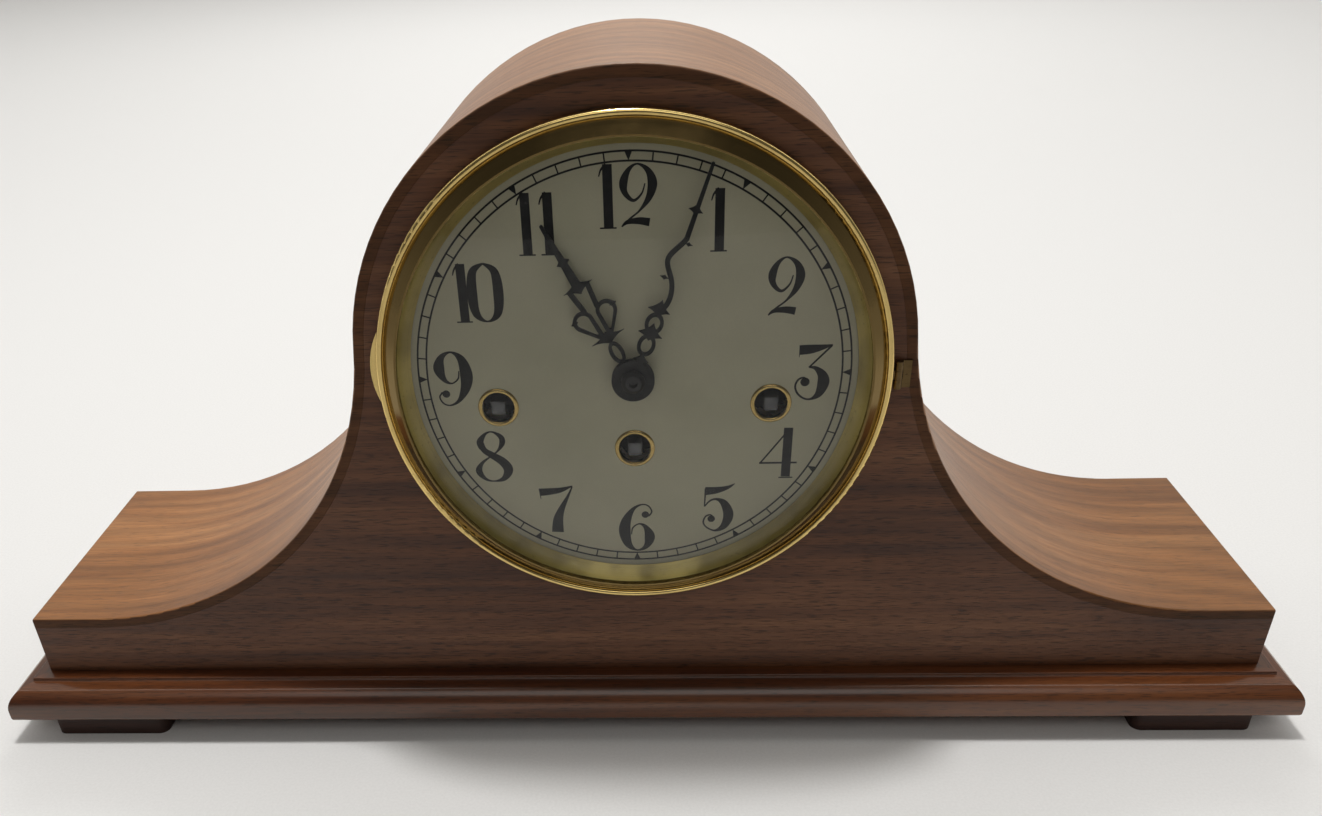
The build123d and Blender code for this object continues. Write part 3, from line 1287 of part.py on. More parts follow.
def plate_face(centre_radius, drum_radius):
    """A movement plate with its pivot holes."""
    with BuildSketch() as face:
        with Locations((0, DIAL_Z + (PLATE_ABOVE - PLATE_BELOW) / 2)):
            RectangleRounded(PLATE_WIDTH, PLATE_ABOVE + PLATE_BELOW, PLATE_CORNER)
        with Locations(*WINDING_AXES.values()):
            Circle(WINDING_ARBOR_RADIUS + RUNNING, mode=Mode.SUBTRACT)
        with Locations(*PLAIN_PIVOTS):
            Circle(PIVOT_RADIUS + RUNNING, mode=Mode.SUBTRACT)
        with Locations(CENTRE):
            Circle(centre_radius + RUNNING, mode=Mode.SUBTRACT)
        with Locations(DRUM_AXIS):
            Circle(drum_radius + RUNNING, mode=Mode.SUBTRACT)
    return face.sketch


with BuildPart() as movement_front_plate:
    with BuildSketch(facing(PLATE_INNER_Y)):
        add(plate_face(ARBOR_RADIUS, PIVOT_RADIUS))
    extrude(amount=PLATE_THICKNESS)
    with BuildSketch(facing(PLATE_FRONT_Y)):
        with Locations(*[click_pivot(train) for train in WINDING_AXES]):
            Circle(STUD_RADIUS)
    extrude(amount=RATCHET_STANDOFF + RATCHET_THICKNESS)
    with BuildSketch(facing(PLATE_FRONT_Y)):
        with Locations(MINUTE_AXIS):
            Circle(STUD_RADIUS)
    extrude(amount=PLATE_FRONT_Y - HOUR_WHEEL_FRONT_Y + SIDE_PLAY)
save(movement_front_plate.part, "movement_front_plate")

with BuildPart() as movement_back_plate:
    with BuildSketch(facing(BACK_PLATE_OUTER_Y)):
        add(plate_face(PIVOT_RADIUS, ARBOR_RADIUS))
        with Locations(HAMMER_AXIS):
            Circle(HAMMER_ARBOR_RADIUS, mode=Mode.SUBTRACT)
    extrude(amount=PLATE_THICKNESS)
save(movement_back_plate.part, "movement_back_plate")

with BuildPart() as movement_pillars:
    with BuildSketch(facing(BACK_PLATE_Y)):
        with Locations(*PILLAR_PLACES):
            Circle(PILLAR_RADIUS)
    extrude(amount=BACK_PLATE_Y - PLATE_INNER_Y)
save(movement_pillars.part, "movement_pillars")

with BuildPart() as pillar_nuts:
    with BuildSketch(facing(BACK_PLATE_OUTER_Y + PLATE_NUT_HEIGHT)):
        with Locations(*PILLAR_PLACES):
            RegularPolygon(PLATE_NUT_RADIUS, 6)
    extrude(amount=PLATE_NUT_HEIGHT)
save(pillar_nuts.part, "pillar_nuts")

with BuildPart() as movement_straps:
    for rise in (PILLAR_ABOVE, -PILLAR_BELOW):
        with BuildSketch(facing(PANEL_BACK_Y + STRAP_THICKNESS)):
            with Locations((0, DIAL_Z + rise)):
                Rectangle(2 * STRAP_REACH, STRAP_WIDTH)
        extrude(amount=STRAP_THICKNESS)
    with BuildSketch(facing(PLATE_FRONT_Y)):
        with Locations(*PILLAR_PLACES):
            Circle(PILLAR_RADIUS)
    extrude(amount=SPACER_LENGTH)
save(movement_straps.part, "movement_straps")


# Hammers, their arbor, the chime rods and the block that holds the rods

HEAD_X = HAMMER_AXIS[0] - HAMMER_REACH
HEAD_BOTTOM_Z = ROD_Z + ROD_RADIUS + STRIKE_GAP
TAIL_LENGTH = hypot(HAMMER_ARBOR_BACK, HAMMER_ARBOR_DROP) - DRUM_CAM_RADIUS - DRUM_GAP - HAMMER_ARM / 2
TAIL_DIRECTION = degrees(atan2(HAMMER_ARBOR_DROP, HAMMER_ARBOR_BACK))


def hammer(y):
    """A cranked hammer: hub, tail to the drum, arm, and a head over its rod."""
    corner = (HEAD_X, HAMMER_AXIS[1])
    with BuildPart() as piece:
        with BuildSketch(facing(y + HAMMER_ARM / 2)):
            add(link(HAMMER_AXIS, HAMMER_ARM / 2, corner, HAMMER_ARM / 2))
            add(link(corner, HAMMER_ARM / 2, (HEAD_X, HEAD_BOTTOM_Z + HAMMER_HEAD_HEIGHT), HAMMER_ARM / 2))
            tail = polar(HAMMER_AXIS, TAIL_LENGTH, TAIL_DIRECTION)
            add(link(HAMMER_AXIS, HAMMER_ARM, tail, HAMMER_ARM / 2))
        extrude(amount=HAMMER_ARM)
        with BuildSketch(facing(y + HAMMER_HUB_LENGTH / 2, HAMMER_AXIS)):
            Circle(HAMMER_HUB_RADIUS)
        extrude(amount=HAMMER_HUB_LENGTH)
        with BuildSketch(facing(y + HAMMER_HEAD_WIDTH / 2)):
            with Locations((HEAD_X, HEAD_BOTTOM_Z + HAMMER_HEAD_HEIGHT / 2)):
                Rectangle(HAMMER_HEAD_LENGTH, HAMMER_HEAD_HEIGHT)
        extrude(amount=HAMMER_HEAD_WIDTH)
        with BuildSketch(facing(y + HAMMER_HUB_LENGTH, HAMMER_AXIS)):
            Circle(HAMMER_ARBOR_RADIUS + RUNNING)
        extrude(amount=2 * HAMMER_HUB_LENGTH, mode=Mode.SUBTRACT)
    return piece.part


for number, y in enumerate(HAMMER_YS):
    save(hammer(y), f"chime_hammer_{number + 1}")

save(
    rod(HAMMER_AXIS, HAMMER_ARBOR_RADIUS, BACK_PLATE_Y, HAMMER_YS[-1] + HAMMER_HUB_LENGTH),
    "hammer_arbor",
)

ROD_START_X = HEAD_X - STRIKE_POINT
BLOCK_DEPTH = HAMMER_YS[-1] - HAMMER_YS[0] + 2 * ROD_BLOCK_MARGIN
BLOCK_MIDDLE_Y = (HAMMER_YS[0] + HAMMER_YS[-1]) / 2
with BuildPart() as chime_rods:
    for number, y in enumerate(HAMMER_YS):
        with BuildSketch(Plane(origin=(ROD_START_X - ROD_SEAT, y, ROD_Z), x_dir=(0, 1, 0), z_dir=(1, 0, 0))):
            Circle(ROD_RADIUS)
        extrude(amount=ROD_SEAT + ROD_LONGEST - ROD_STEP * number)
save(chime_rods.part, "chime_rods")

with BuildPart() as rod_block:
    with BuildSketch(Plane.XY.offset(BASE_TOP_Z)):
        with Locations((ROD_START_X - ROD_BLOCK_LENGTH / 2, BLOCK_MIDDLE_Y)):
            Rectangle(ROD_BLOCK_LENGTH, BLOCK_DEPTH)
    extrude(amount=ROD_BLOCK_HEIGHT)
    for y in HAMMER_YS:
        with BuildSketch(Plane(origin=(ROD_START_X, y, ROD_Z), x_dir=(0, 1, 0), z_dir=(-1, 0, 0))):
            Circle(ROD_RADIUS)
        extrude(amount=ROD_SEAT, mode=Mode.SUBTRACT)
save(rod_block.part, "rod_block")
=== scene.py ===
from math import cos, pi, radians, sin, sqrt

import bmesh
import bpy
from mathutils import Matrix, Vector


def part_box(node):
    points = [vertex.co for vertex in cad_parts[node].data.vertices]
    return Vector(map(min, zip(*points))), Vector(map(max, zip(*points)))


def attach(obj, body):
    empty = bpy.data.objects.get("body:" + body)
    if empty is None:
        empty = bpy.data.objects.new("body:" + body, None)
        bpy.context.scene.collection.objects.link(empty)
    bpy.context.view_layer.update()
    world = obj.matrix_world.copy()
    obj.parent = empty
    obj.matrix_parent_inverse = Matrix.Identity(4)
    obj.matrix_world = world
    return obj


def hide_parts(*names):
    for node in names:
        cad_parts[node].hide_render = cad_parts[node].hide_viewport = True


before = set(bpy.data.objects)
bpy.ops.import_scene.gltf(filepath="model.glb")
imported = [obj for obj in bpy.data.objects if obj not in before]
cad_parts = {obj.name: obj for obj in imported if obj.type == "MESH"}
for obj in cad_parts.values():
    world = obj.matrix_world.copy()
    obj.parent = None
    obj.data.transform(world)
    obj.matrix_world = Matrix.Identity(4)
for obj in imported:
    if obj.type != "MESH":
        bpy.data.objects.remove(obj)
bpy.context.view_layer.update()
scene = bpy.context.scene
scene.view_settings.view_transform = "Standard"

# Sizes of the solid model that the looks follow, in metres
MM = 0.001
HALF_WIDTH = 251.5 * MM
HALF_DEPTH = 56.0 * MM
DIAL_Z = 155.2 * MM
DIAL_FACE_Y = -53.6 * MM

# Camera, fitted to the photograph
IMAGE_WIDTH = 1322
IMAGE_HEIGHT = 816
FOCAL_PIXELS = 1114.8
PRINCIPAL_POINT = (610.5, 568.0)
CAMERA_PLACE = Vector((9.0, -426.1, 311.0)) * MM
CAMERA_YAW = radians(-3.04)
CAMERA_PITCH = radians(32.47)
CAMERA_ROLL = radians(-2.19)
SENSOR_WIDTH = 36.0
CAMERA_NEAR = 10.0 * MM


def add_camera():
    """The camera at the photograph's place and angle."""
    forward = Vector((
        sin(CAMERA_YAW) * cos(CAMERA_PITCH),
        cos(CAMERA_YAW) * cos(CAMERA_PITCH),
        -sin(CAMERA_PITCH),
    ))
    level = Vector((cos(CAMERA_YAW), -sin(CAMERA_YAW), 0))
    raised = level.cross(forward)
    right = cos(CAMERA_ROLL) * level + sin(CAMERA_ROLL) * raised
    up = cos(CAMERA_ROLL) * raised - sin(CAMERA_ROLL) * level
    data = bpy.data.cameras.new("camera")
    data.sensor_width = SENSOR_WIDTH
    data.lens = FOCAL_PIXELS / IMAGE_WIDTH * SENSOR_WIDTH
    data.shift_x = (IMAGE_WIDTH / 2 - PRINCIPAL_POINT[0]) / IMAGE_WIDTH
    data.shift_y = (PRINCIPAL_POINT[1] - IMAGE_HEIGHT / 2) / IMAGE_WIDTH
    data.clip_start = CAMERA_NEAR
    camera = bpy.data.objects.new("camera", data)
    turn = Matrix((right, up, -forward)).transposed()
    camera.matrix_world = Matrix.Translation(CAMERA_PLACE) @ turn.to_4x4()
    scene.collection.objects.link(camera)
    scene.camera = camera


NOISE_RANGE = (0.3, 0.7)
BEVEL_SAMPLES = 4


class Graph:
    """The node tree of one material, with short ways to add and wire nodes."""

    def __init__(self, name):
        self.material = bpy.data.materials.new(name)
        self.material.use_nodes = True
        self.tree = self.material.node_tree
        self.tree.nodes.clear()
        self.shader = self.tree.nodes.new("ShaderNodeBsdfPrincipled")
        output = self.tree.nodes.new("ShaderNodeOutputMaterial")
        self.tree.links.new(self.shader.outputs["BSDF"], output.inputs["Surface"])
        self.place = self.tree.nodes.new("ShaderNodeTexCoord").outputs["Object"]

    def wire(self, value, socket):
        """Link a socket, or set it to a plain value."""
        if isinstance(value, bpy.types.NodeSocket):
            self.tree.links.new(value, socket)
        else:
            socket.default_value = value

    def set(self, name, value):
        """Give one input of the surface shader its value."""
        self.wire(value, self.shader.inputs[name])

    def math(self, operation, first, second=0.0):
        node = self.tree.nodes.new("ShaderNodeMath")
        node.operation = operation
        self.wire(first, node.inputs[0])
        self.wire(second, node.inputs[1])
        return node.outputs[0]

    def split(self, vector):
        node = self.tree.nodes.new("ShaderNodeSeparateXYZ")
        self.wire(vector, node.inputs[0])
        return node.outputs

    def join(self, x, y, z):
        node = self.tree.nodes.new("ShaderNodeCombineXYZ")
        for value, socket in zip((x, y, z), node.inputs):
            self.wire(value, socket)
        return node.outputs[0]

    def scaled(self, vector, scale):
        node = self.tree.nodes.new("ShaderNodeMapping")
        self.wire(vector, node.inputs["Vector"])
        node.inputs["Scale"].default_value = scale
        return node.outputs[0]

    def noise(self, vector, scale=1.0, detail=2.0, distortion=0.0):
        node = self.tree.nodes.new("ShaderNodeTexNoise")
        self.wire(vector, node.inputs["Vector"])
        node.inputs["Scale"].default_value = scale
        node.inputs["Detail"].default_value = detail
        node.inputs["Distortion"].default_value = distortion
        return node.outputs["Fac"]

    def lines(self, value, scale):
        """Noise along one number, for turned or brushed lines."""
        node = self.tree.nodes.new("ShaderNodeTexNoise")
        node.noise_dimensions = "1D"
        self.wire(value, node.inputs["W"])
        node.inputs["Scale"].default_value = scale
        return node.outputs["Fac"]

    def span(self, value, low, high, to_low, to_high):
        """Move a value from one range to another and keep it there."""
        node = self.tree.nodes.new("ShaderNodeMapRange")
        for item, socket in zip((value, low, high, to_low, to_high), node.inputs):
            self.wire(item, socket)
        return node.outputs[0]

    def ramp(self, value, stops):
        node = self.tree.nodes.new("ShaderNodeValToRGB")
        self.wire(value, node.inputs["Fac"])
        points = node.color_ramp.elements
        while len(points) < len(stops):
            points.new(1.0)
        for point, (position, colour) in zip(points, stops):
            point.position = position
            point.color = (*colour, 1.0)
        return node.outputs["Color"]

    def vary(self, noise, to_low, to_high):
        """Spread the common range of a noise over another range."""
        return self.span(noise, *NOISE_RANGE, to_low, to_high)

    def two_tone(self, noise, first, second):
        """Run from one colour to another over the common range of a noise."""
        return self.ramp(noise, tuple(zip(NOISE_RANGE, (first, second))))

    def blend(self, factor, first, second, kind="RGBA"):
        """Mix two colours, or two vectors."""
        node = self.tree.nodes.new("ShaderNodeMix")
        node.data_type = kind
        used = [s for s in node.inputs if s.enabled]
        self.wire(factor, used[0])
        for value, socket in ((first, used[-2]), (second, used[-1])):
            if isinstance(value, tuple) and kind == "RGBA":
                value = (*value, 1.0)
            self.wire(value, socket)
        return next(s for s in node.outputs if s.enabled)

    def shade(self, colour, value):
        """Darken or lighten a colour."""
        node = self.tree.nodes.new("ShaderNodeHueSaturation")
        self.wire(colour, node.inputs["Color"])
        self.wire(value, node.inputs["Value"])
        return node.outputs["Color"]

    def bump(self, height, distance, strength=1.0, round_edges=0.0):
        """Relief from a height, over edges that are softened a little."""
        node = self.tree.nodes.new("ShaderNodeBump")
        node.inputs["Distance"].default_value = distance
        node.inputs["Strength"].default_value = strength
        self.wire(height, node.inputs["Height"])
        if round_edges:
            bevel = self.tree.nodes.new("ShaderNodeBevel")
            bevel.samples = BEVEL_SAMPLES
            bevel.inputs["Radius"].default_value = round_edges
            self.wire(bevel.outputs[0], node.inputs["Normal"])
        self.set("Normal", node.outputs[0])


# Wood

PORE_RANGE = (0.57, 0.67)
RINGS_PER_METRE = 75.0
RING_WANDER = 7.0
TONE_STOPS = (0.36, 0.50, 0.64)
# How far the painted shade on the top's edge reaches
EDGE_SHADE_FULL = 0.2 * MM
EDGE_SHADE_START = 0.5 * MM
TOP_ROUGHNESS = 0.42
EDGE_SHADE_ROUGHNESS = 0.80
WOOD_EDGE_ROUND = 0.5 * MM


def grain_layers(g, place, across):
    """Broad bands, streaks, fibres and pores; across says which axes run over the grain."""

    def stretched(along_scale, across_scale):
        scale = tuple(across_scale if flag else along_scale for flag in across)
        return g.scaled(place, scale)

    broad = g.noise(stretched(4, 34), detail=3, distortion=0.5)
    streak = g.noise(stretched(7, 230), detail=4)
    fibre = g.noise(stretched(50, 1700), detail=2)
    pore = g.span(g.noise(stretched(150, 2300), detail=1), *PORE_RANGE, 0.0, 1.0)
    return broad, streak, fibre, pore


def ring_figure(g, place):
    """Growth rings cut at a slant: bands across the depth that wander into arches."""
    y = g.split(place)[1]
    wander = g.noise(g.scaled(place, (5, 9, 5)), detail=1)
    turns = g.math("ADD", g.math("MULTIPLY", y, RINGS_PER_METRE), g.math("MULTIPLY", wander, RING_WANDER))
    return g.span(g.math("SINE", g.math("MULTIPLY", turns, 2 * pi)), -1.0, 1.0, 0.0, 1.0)


def wood_colour(g, layers, tones, pore_depth):
    broad, streak, fibre, pore = layers
    tone = g.math("ADD", g.math("MULTIPLY", broad, 0.5), g.math("MULTIPLY", streak, 0.5))
    colour = g.ramp(tone, tuple(zip(TONE_STOPS, tones)))
    value = g.math(
        "MULTIPLY",
        g.vary(fibre, 0.86, 1.14),
        g.span(pore, 0.0, 1.0, 1.0, 1.0 - pore_depth),
    )
    return g.shade(colour, value)


def wood_finish(g, layers, roughness, coat, coat_roughness, relief):
    _, streak, fibre, pore = layers
    g.set("Roughness", g.vary(streak, roughness - 0.05, roughness + 0.07))
    g.set("Coat Weight", coat)
    g.set("Coat Roughness", coat_roughness)
    height = g.math("SUBTRACT", g.math("MULTIPLY", fibre, 0.4), pore)
    g.bump(height, relief, 0.5, WOOD_EDGE_ROUND)


# Painted shade: the front's tones are darker than the top's walnut
FRONT_SHADED_TONES = ((0.066, 0.022, 0.008), (0.122, 0.045, 0.017), (0.186, 0.079, 0.034))
# Painted shade: darker tones for the top's edge in front and behind
EDGE_SHADE_TONES = ((0.046, 0.013, 0.004), (0.084, 0.027, 0.009), (0.128, 0.048, 0.019))
TOP_TONES = ((0.185, 0.068, 0.018), (0.285, 0.114, 0.033), (0.370, 0.165, 0.056))
# The base's tones: its own reddish polish, made darker than the top's walnut as painted shade
BASE_SHADED_TONES = ((0.050, 0.013, 0.004), (0.100, 0.031, 0.009), (0.156, 0.057, 0.018))
# Painted shade: near-black tones for the feet under the base
FOOT_SHADED_TONES = ((0.018, 0.006, 0.003), (0.034, 0.012, 0.007), (0.054, 0.022, 0.013))
BACK_TONES = ((0.150, 0.078, 0.042), (0.230, 0.125, 0.070), (0.300, 0.170, 0.100))
ALONG_X = (False, True, True)
ALONG_SWEEP = (False, True, False)


def front_wood():
    """Walnut with level grain and long pores, in tones darker than the top's as painted shade on the front.
    """
    g = Graph("front_walnut_painted_shade")
    layers = grain_layers(g, g.place, ALONG_X)
    g.set("Base Color", wood_colour(g, layers, FRONT_SHADED_TONES, 0.55))
    wood_finish(g, layers, roughness=0.46, coat=0.10, coat_roughness=0.30, relief=0.10 * MM)
    g.set("Specular IOR Level", 0.35)
    return g.material


def top_wood():
    """Warm walnut that follows the sweep, with a darker edge in front and behind that is painted shade."""
    g = Graph("top_walnut_satin")
    layers = grain_layers(g, g.place, ALONG_SWEEP)
    plain = wood_colour(g, layers, TOP_TONES, 0.35)
    ring = ring_figure(g, g.place)
    figured = g.shade(plain, g.span(ring, 0.0, 1.0, 0.86, 1.08))
    # The top's tone darkens steadily from left to right
    sideways = g.split(g.place)[0]
    figured = g.shade(figured, g.span(sideways, -HALF_WIDTH, HALF_WIDTH, 1.06, 0.84))
    edge_layers = grain_layers(g, g.place, ALONG_X)
    # The darker tones laid on the edge here are painted shade
    stained = wood_colour(g, edge_layers, EDGE_SHADE_TONES, 0.60)
    depth = g.math("ABSOLUTE", g.split(g.place)[1])
    edge = g.span(depth, HALF_DEPTH - EDGE_SHADE_START, HALF_DEPTH - EDGE_SHADE_FULL, 0.0, 1.0)
    g.set("Base Color", g.blend(edge, figured, stained))
    wood_finish(g, layers, roughness=TOP_ROUGHNESS, coat=0.10, coat_roughness=0.32, relief=0.06 * MM)
    g.set("Roughness", g.span(edge, 0.0, 1.0, TOP_ROUGHNESS, EDGE_SHADE_ROUGHNESS))
    g.set("Specular IOR Level", 0.55)
    g.set("Specular Tint", (1.0, 0.86, 0.62, 1.0))
    return g.material


def base_wood():
    """Polished reddish walnut, with darker tones than the top's that are partly painted shade; the grain
    turns at the mitred corners.
    """
    g = Graph("base_walnut_polished")
    x, y, z = g.split(g.place)
    beyond_end = g.math("SUBTRACT", g.math("ABSOLUTE", x), HALF_WIDTH)
    beyond_side = g.math("SUBTRACT", g.math("ABSOLUTE", y), HALF_DEPTH)
    at_end = g.math("GREATER_THAN", beyond_end, beyond_side)
    place = g.blend(at_end, g.place, g.join(y, x, z), "VECTOR")
    layers = grain_layers(g, place, ALONG_X)
    g.set("Base Color", wood_colour(g, layers, BASE_SHADED_TONES, 0.50))
    wood_finish(g, layers, roughness=0.36, coat=0.9, coat_roughness=0.20, relief=0.03 * MM)
    g.set("Coat Tint", (1.0, 0.86, 0.70, 1.0))
    g.set("Specular IOR Level", 0.35)
    return g.material


def plain_wood(name, tones, roughness):
    """Unpolished or plainly stained wood."""
    g = Graph(name)
    layers = grain_layers(g, g.place, ALONG_X)
    g.set("Base Color", wood_colour(g, layers, tones, 0.4))
    wood_finish(g, layers, roughness, coat=0.0, coat_roughness=0.3, relief=0.10 * MM)
    g.set("Specular IOR Level", 0.30)
    return g.material


# Metal, paint and glass

SPUN_LINES = 2600.0
REFLECTION_FADE = 0.4 * MM
# Ring of the bezel that carries a painted dark reflection of the dim room in front
BEZEL_BAND_INNER = 82.7 * MM
BEZEL_BAND_OUTER = 88.3 * MM
BEZEL_REFLECTION_TONE = (0.085, 0.050, 0.018)
FINE_RELIEF = 0.01 * MM
NUT_START = 2.0 * MM
NUT_FULL = 3.0 * MM
TIP_START = 0.3 * MM
TIP_FULL = 0.6 * MM
TIP_ROUND = 1.6 * MM
AGED_RIM_START = 60.0 * MM
AGED_RIM_FULL = 84.0 * MM


def dial_radius(g):
    """Distance from the axis of the dial."""
    x, y, z = g.split(g.place)
    rise = g.math("SUBTRACT", z, DIAL_Z)
    return g.math("SQRT", g.math("ADD", g.math("MULTIPLY", x, x), g.math("MULTIPLY", rise, rise)))


def brass(name, bright, tarnish, roughness, spun, aged, reflection_band=None):
    """Brass with fine lines, dull patches and specks; between two given radii of the dial it can take a
    darker tone, a painted dark reflection.
    """
    g = Graph(name)
    if spun:
        fine = g.lines(dial_radius(g), SPUN_LINES)
    else:
        fine = g.noise(g.scaled(g.place, (90, 1400, 1400)), detail=2)
    patch = g.noise(g.place, 70.0, 4.0)
    speck = g.span(g.noise(g.place, 900.0, 2.0), 0.64, 0.72, 0.0, 1.0)
    dull = g.math("MAXIMUM", g.span(patch, 0.45, 0.75, 0.0, aged), g.math("MULTIPLY", speck, aged))
    colour = g.blend(dull, bright, tarnish)
    # Painted dark reflection: the ring between the two radii is darkened as if it mirrored the dim room in
    # front
    if reflection_band:
        low, high, tone = reflection_band
        radius = dial_radius(g)
        reflection_mask = g.math(
            "MULTIPLY",
            g.span(radius, low, low + REFLECTION_FADE, 0.0, 0.85),
            g.span(radius, high - REFLECTION_FADE, high, 1.0, 0.0),
        )
        colour = g.blend(reflection_mask, colour, tone)
    g.set("Base Color", g.shade(colour, g.vary(fine, 0.94, 1.06)))
    g.set("Metallic", 1.0)
    g.set("Roughness", g.span(dull, 0.0, 1.0, roughness, roughness + 0.28))
    g.bump(fine, FINE_RELIEF, 0.25, 0.2 * MM)
    return g.material


def nut_and_arbor():
    """Movement brass that turns to black enamel in front of the dial."""
    g = Graph("centre_arbor_brass")
    ahead = g.span(g.split(g.place)[1], DIAL_FACE_Y - NUT_FULL, DIAL_FACE_Y - NUT_START, 1.0, 0.0)
    patch = g.noise(g.place, 220.0, 3.0)
    metal = g.two_tone(patch, (0.52, 0.36, 0.15), (0.84, 0.64, 0.30))
    g.set("Base Color", g.blend(ahead, metal, (0.014, 0.014, 0.015)))
    g.set("Metallic", g.span(ahead, 0.0, 1.0, 1.0, 0.0))
    g.set("Roughness", g.vary(patch, 0.26, 0.40))
    g.bump(patch, FINE_RELIEF, 0.3, 0.15 * MM)
    return g.material


def steel(name, bright, dark, roughness):
    """Drawn or ground steel with a faint stain."""
    g = Graph(name)
    fine = g.noise(g.scaled(g.place, (1500, 120, 1500)), detail=2)
    stain = g.noise(g.place, 160.0, 3.0)
    g.set("Base Color", g.blend(g.span(stain, 0.4, 0.7, 0.0, 1.0), bright, dark))
    g.set("Metallic", 1.0)
    g.set("Roughness", g.vary(fine, roughness - 0.06, roughness + 0.10))
    g.bump(fine, FINE_RELIEF, 0.3, 0.15 * MM)
    return g.material


def arbor_steel():
    """Winding steel made very dark, with a lighter, rounded end that the key has polished."""
    g = Graph("arbor_steel_tipped")
    ahead = g.span(g.split(g.place)[1], DIAL_FACE_Y - TIP_FULL, DIAL_FACE_Y - TIP_START, 1.0, 0.0)
    stain = g.noise(g.place, 260.0, 3.0)
    bright = g.two_tone(stain, (0.07, 0.07, 0.075), (0.13, 0.13, 0.13))
    g.set("Base Color", g.blend(ahead, (0.03, 0.03, 0.033), bright))
    g.set("Metallic", 1.0)
    g.set("Roughness", g.vary(stain, 0.14, 0.24))
    g.bump(stain, FINE_RELIEF, 0.3, TIP_ROUND)
    return g.material


def cast_iron():
    """Rough cast block under dark paint."""
    g = Graph("rod_block_cast")
    pit = g.noise(g.place, 700.0, 4.0)
    g.set("Base Color", g.two_tone(pit, (0.045, 0.044, 0.043), (0.125, 0.122, 0.118)))
    g.set("Metallic", 0.4)
    g.set("Roughness", g.vary(pit, 0.55, 0.75))
    g.bump(pit, 0.4 * MM, 0.6, 0.5 * MM)
    return g.material


def dial_paint():
    """Cream paint, a little yellower and dustier towards the rim."""
    g = Graph("dial_cream")
    cloud = g.noise(g.place, 26.0, 3.0)
    grain = g.noise(g.place, 2400.0, 2.0)
    cream = g.two_tone(cloud, (0.57, 0.54, 0.375), (0.65, 0.615, 0.44))
    rim = g.span(dial_radius(g), AGED_RIM_START, AGED_RIM_FULL, 0.0, 0.35)
    aged = g.blend(rim, cream, (0.50, 0.455, 0.32))
    g.set("Base Color", g.shade(aged, g.vary(grain, 0.97, 1.03)))
    g.set("Roughness", g.vary(cloud, 0.42, 0.55))
    g.bump(grain, 0.02 * MM, 0.2)
    return g.material


def black_paint(name, roughness, relief):
    """Black enamel or ink with a slight mottle."""
    g = Graph(name)
    mottle = g.noise(g.place, 420.0, 3.0)
    g.set("Base Color", g.two_tone(mottle, (0.009, 0.009, 0.010), (0.022, 0.021, 0.021)))
    g.set("Roughness", g.vary(mottle, roughness - 0.06, roughness + 0.08))
    g.set("Specular IOR Level", 0.22)
    g.bump(mottle, relief, 0.3, 0.12 * MM)
    return g.material


def clear_glass():
    """Clear convex glass with a film of dust."""
    g = Graph("crystal_clear")
    film = g.noise(g.place, 55.0, 4.0)
    g.set("Base Color", g.two_tone(film, (0.97, 0.98, 0.97), (1.0, 1.0, 1.0)))
    g.set("Transmission Weight", 1.0)
    g.set("IOR", 1.45)
    g.set("Specular Tint", (0.45, 0.45, 0.45, 1.0))
    g.set("Roughness", g.span(film, 0.5, 0.8, 0.0, 0.02))
    return g.material


BRASS_BRIGHT = (0.86, 0.64, 0.25)
BRASS_TARNISH = (0.40, 0.25, 0.09)
SLOT_MATERIALS = {
    "front_walnut": front_wood(),
    "top_walnut": top_wood(),
    "base_walnut": base_wood(),
    # The feet's near-black walnut is painted shade from under the base
    "foot_walnut": plain_wood("foot_walnut_painted_shade", FOOT_SHADED_TONES, 0.5),
    "back_wood": plain_wood("back_wood_stained", BACK_TONES, 0.55),
    "block_iron": cast_iron(),
    "bezel_brass": brass(
        "bezel_brass_polished", BRASS_BRIGHT, BRASS_TARNISH, roughness=0.14, spun=True, aged=0.3,
        reflection_band=(BEZEL_BAND_INNER, BEZEL_BAND_OUTER, BEZEL_REFLECTION_TONE),
    ),
    "reflector_brass": brass(
        "reflector_brass_matt", (0.62, 0.50, 0.18), (0.38, 0.29, 0.10), roughness=0.42, spun=True, aged=0.6,
    ),
    "dial_paint": dial_paint(),
    "crystal": clear_glass(),
    "hand_black": black_paint("hand_enamel", roughness=0.34, relief=0.03 * MM),
    "hinge_brass": brass(
        "hinge_brass_worn", (0.78, 0.56, 0.22), BRASS_TARNISH, roughness=0.28, spun=False, aged=0.8,
    ),
    "pin_steel": steel("pin_steel_bright", (0.62, 0.61, 0.60), (0.42, 0.41, 0.40), roughness=0.26),
    "movement_brass": brass(
        "movement_brass_brushed", (0.84, 0.64, 0.30), (0.52, 0.36, 0.15),
        roughness=0.26, spun=False, aged=0.5,
    ),
    "movement_steel": steel(
        "movement_steel_ground", (0.56, 0.57, 0.59), (0.36, 0.37, 0.40), roughness=0.30,
    ),
}
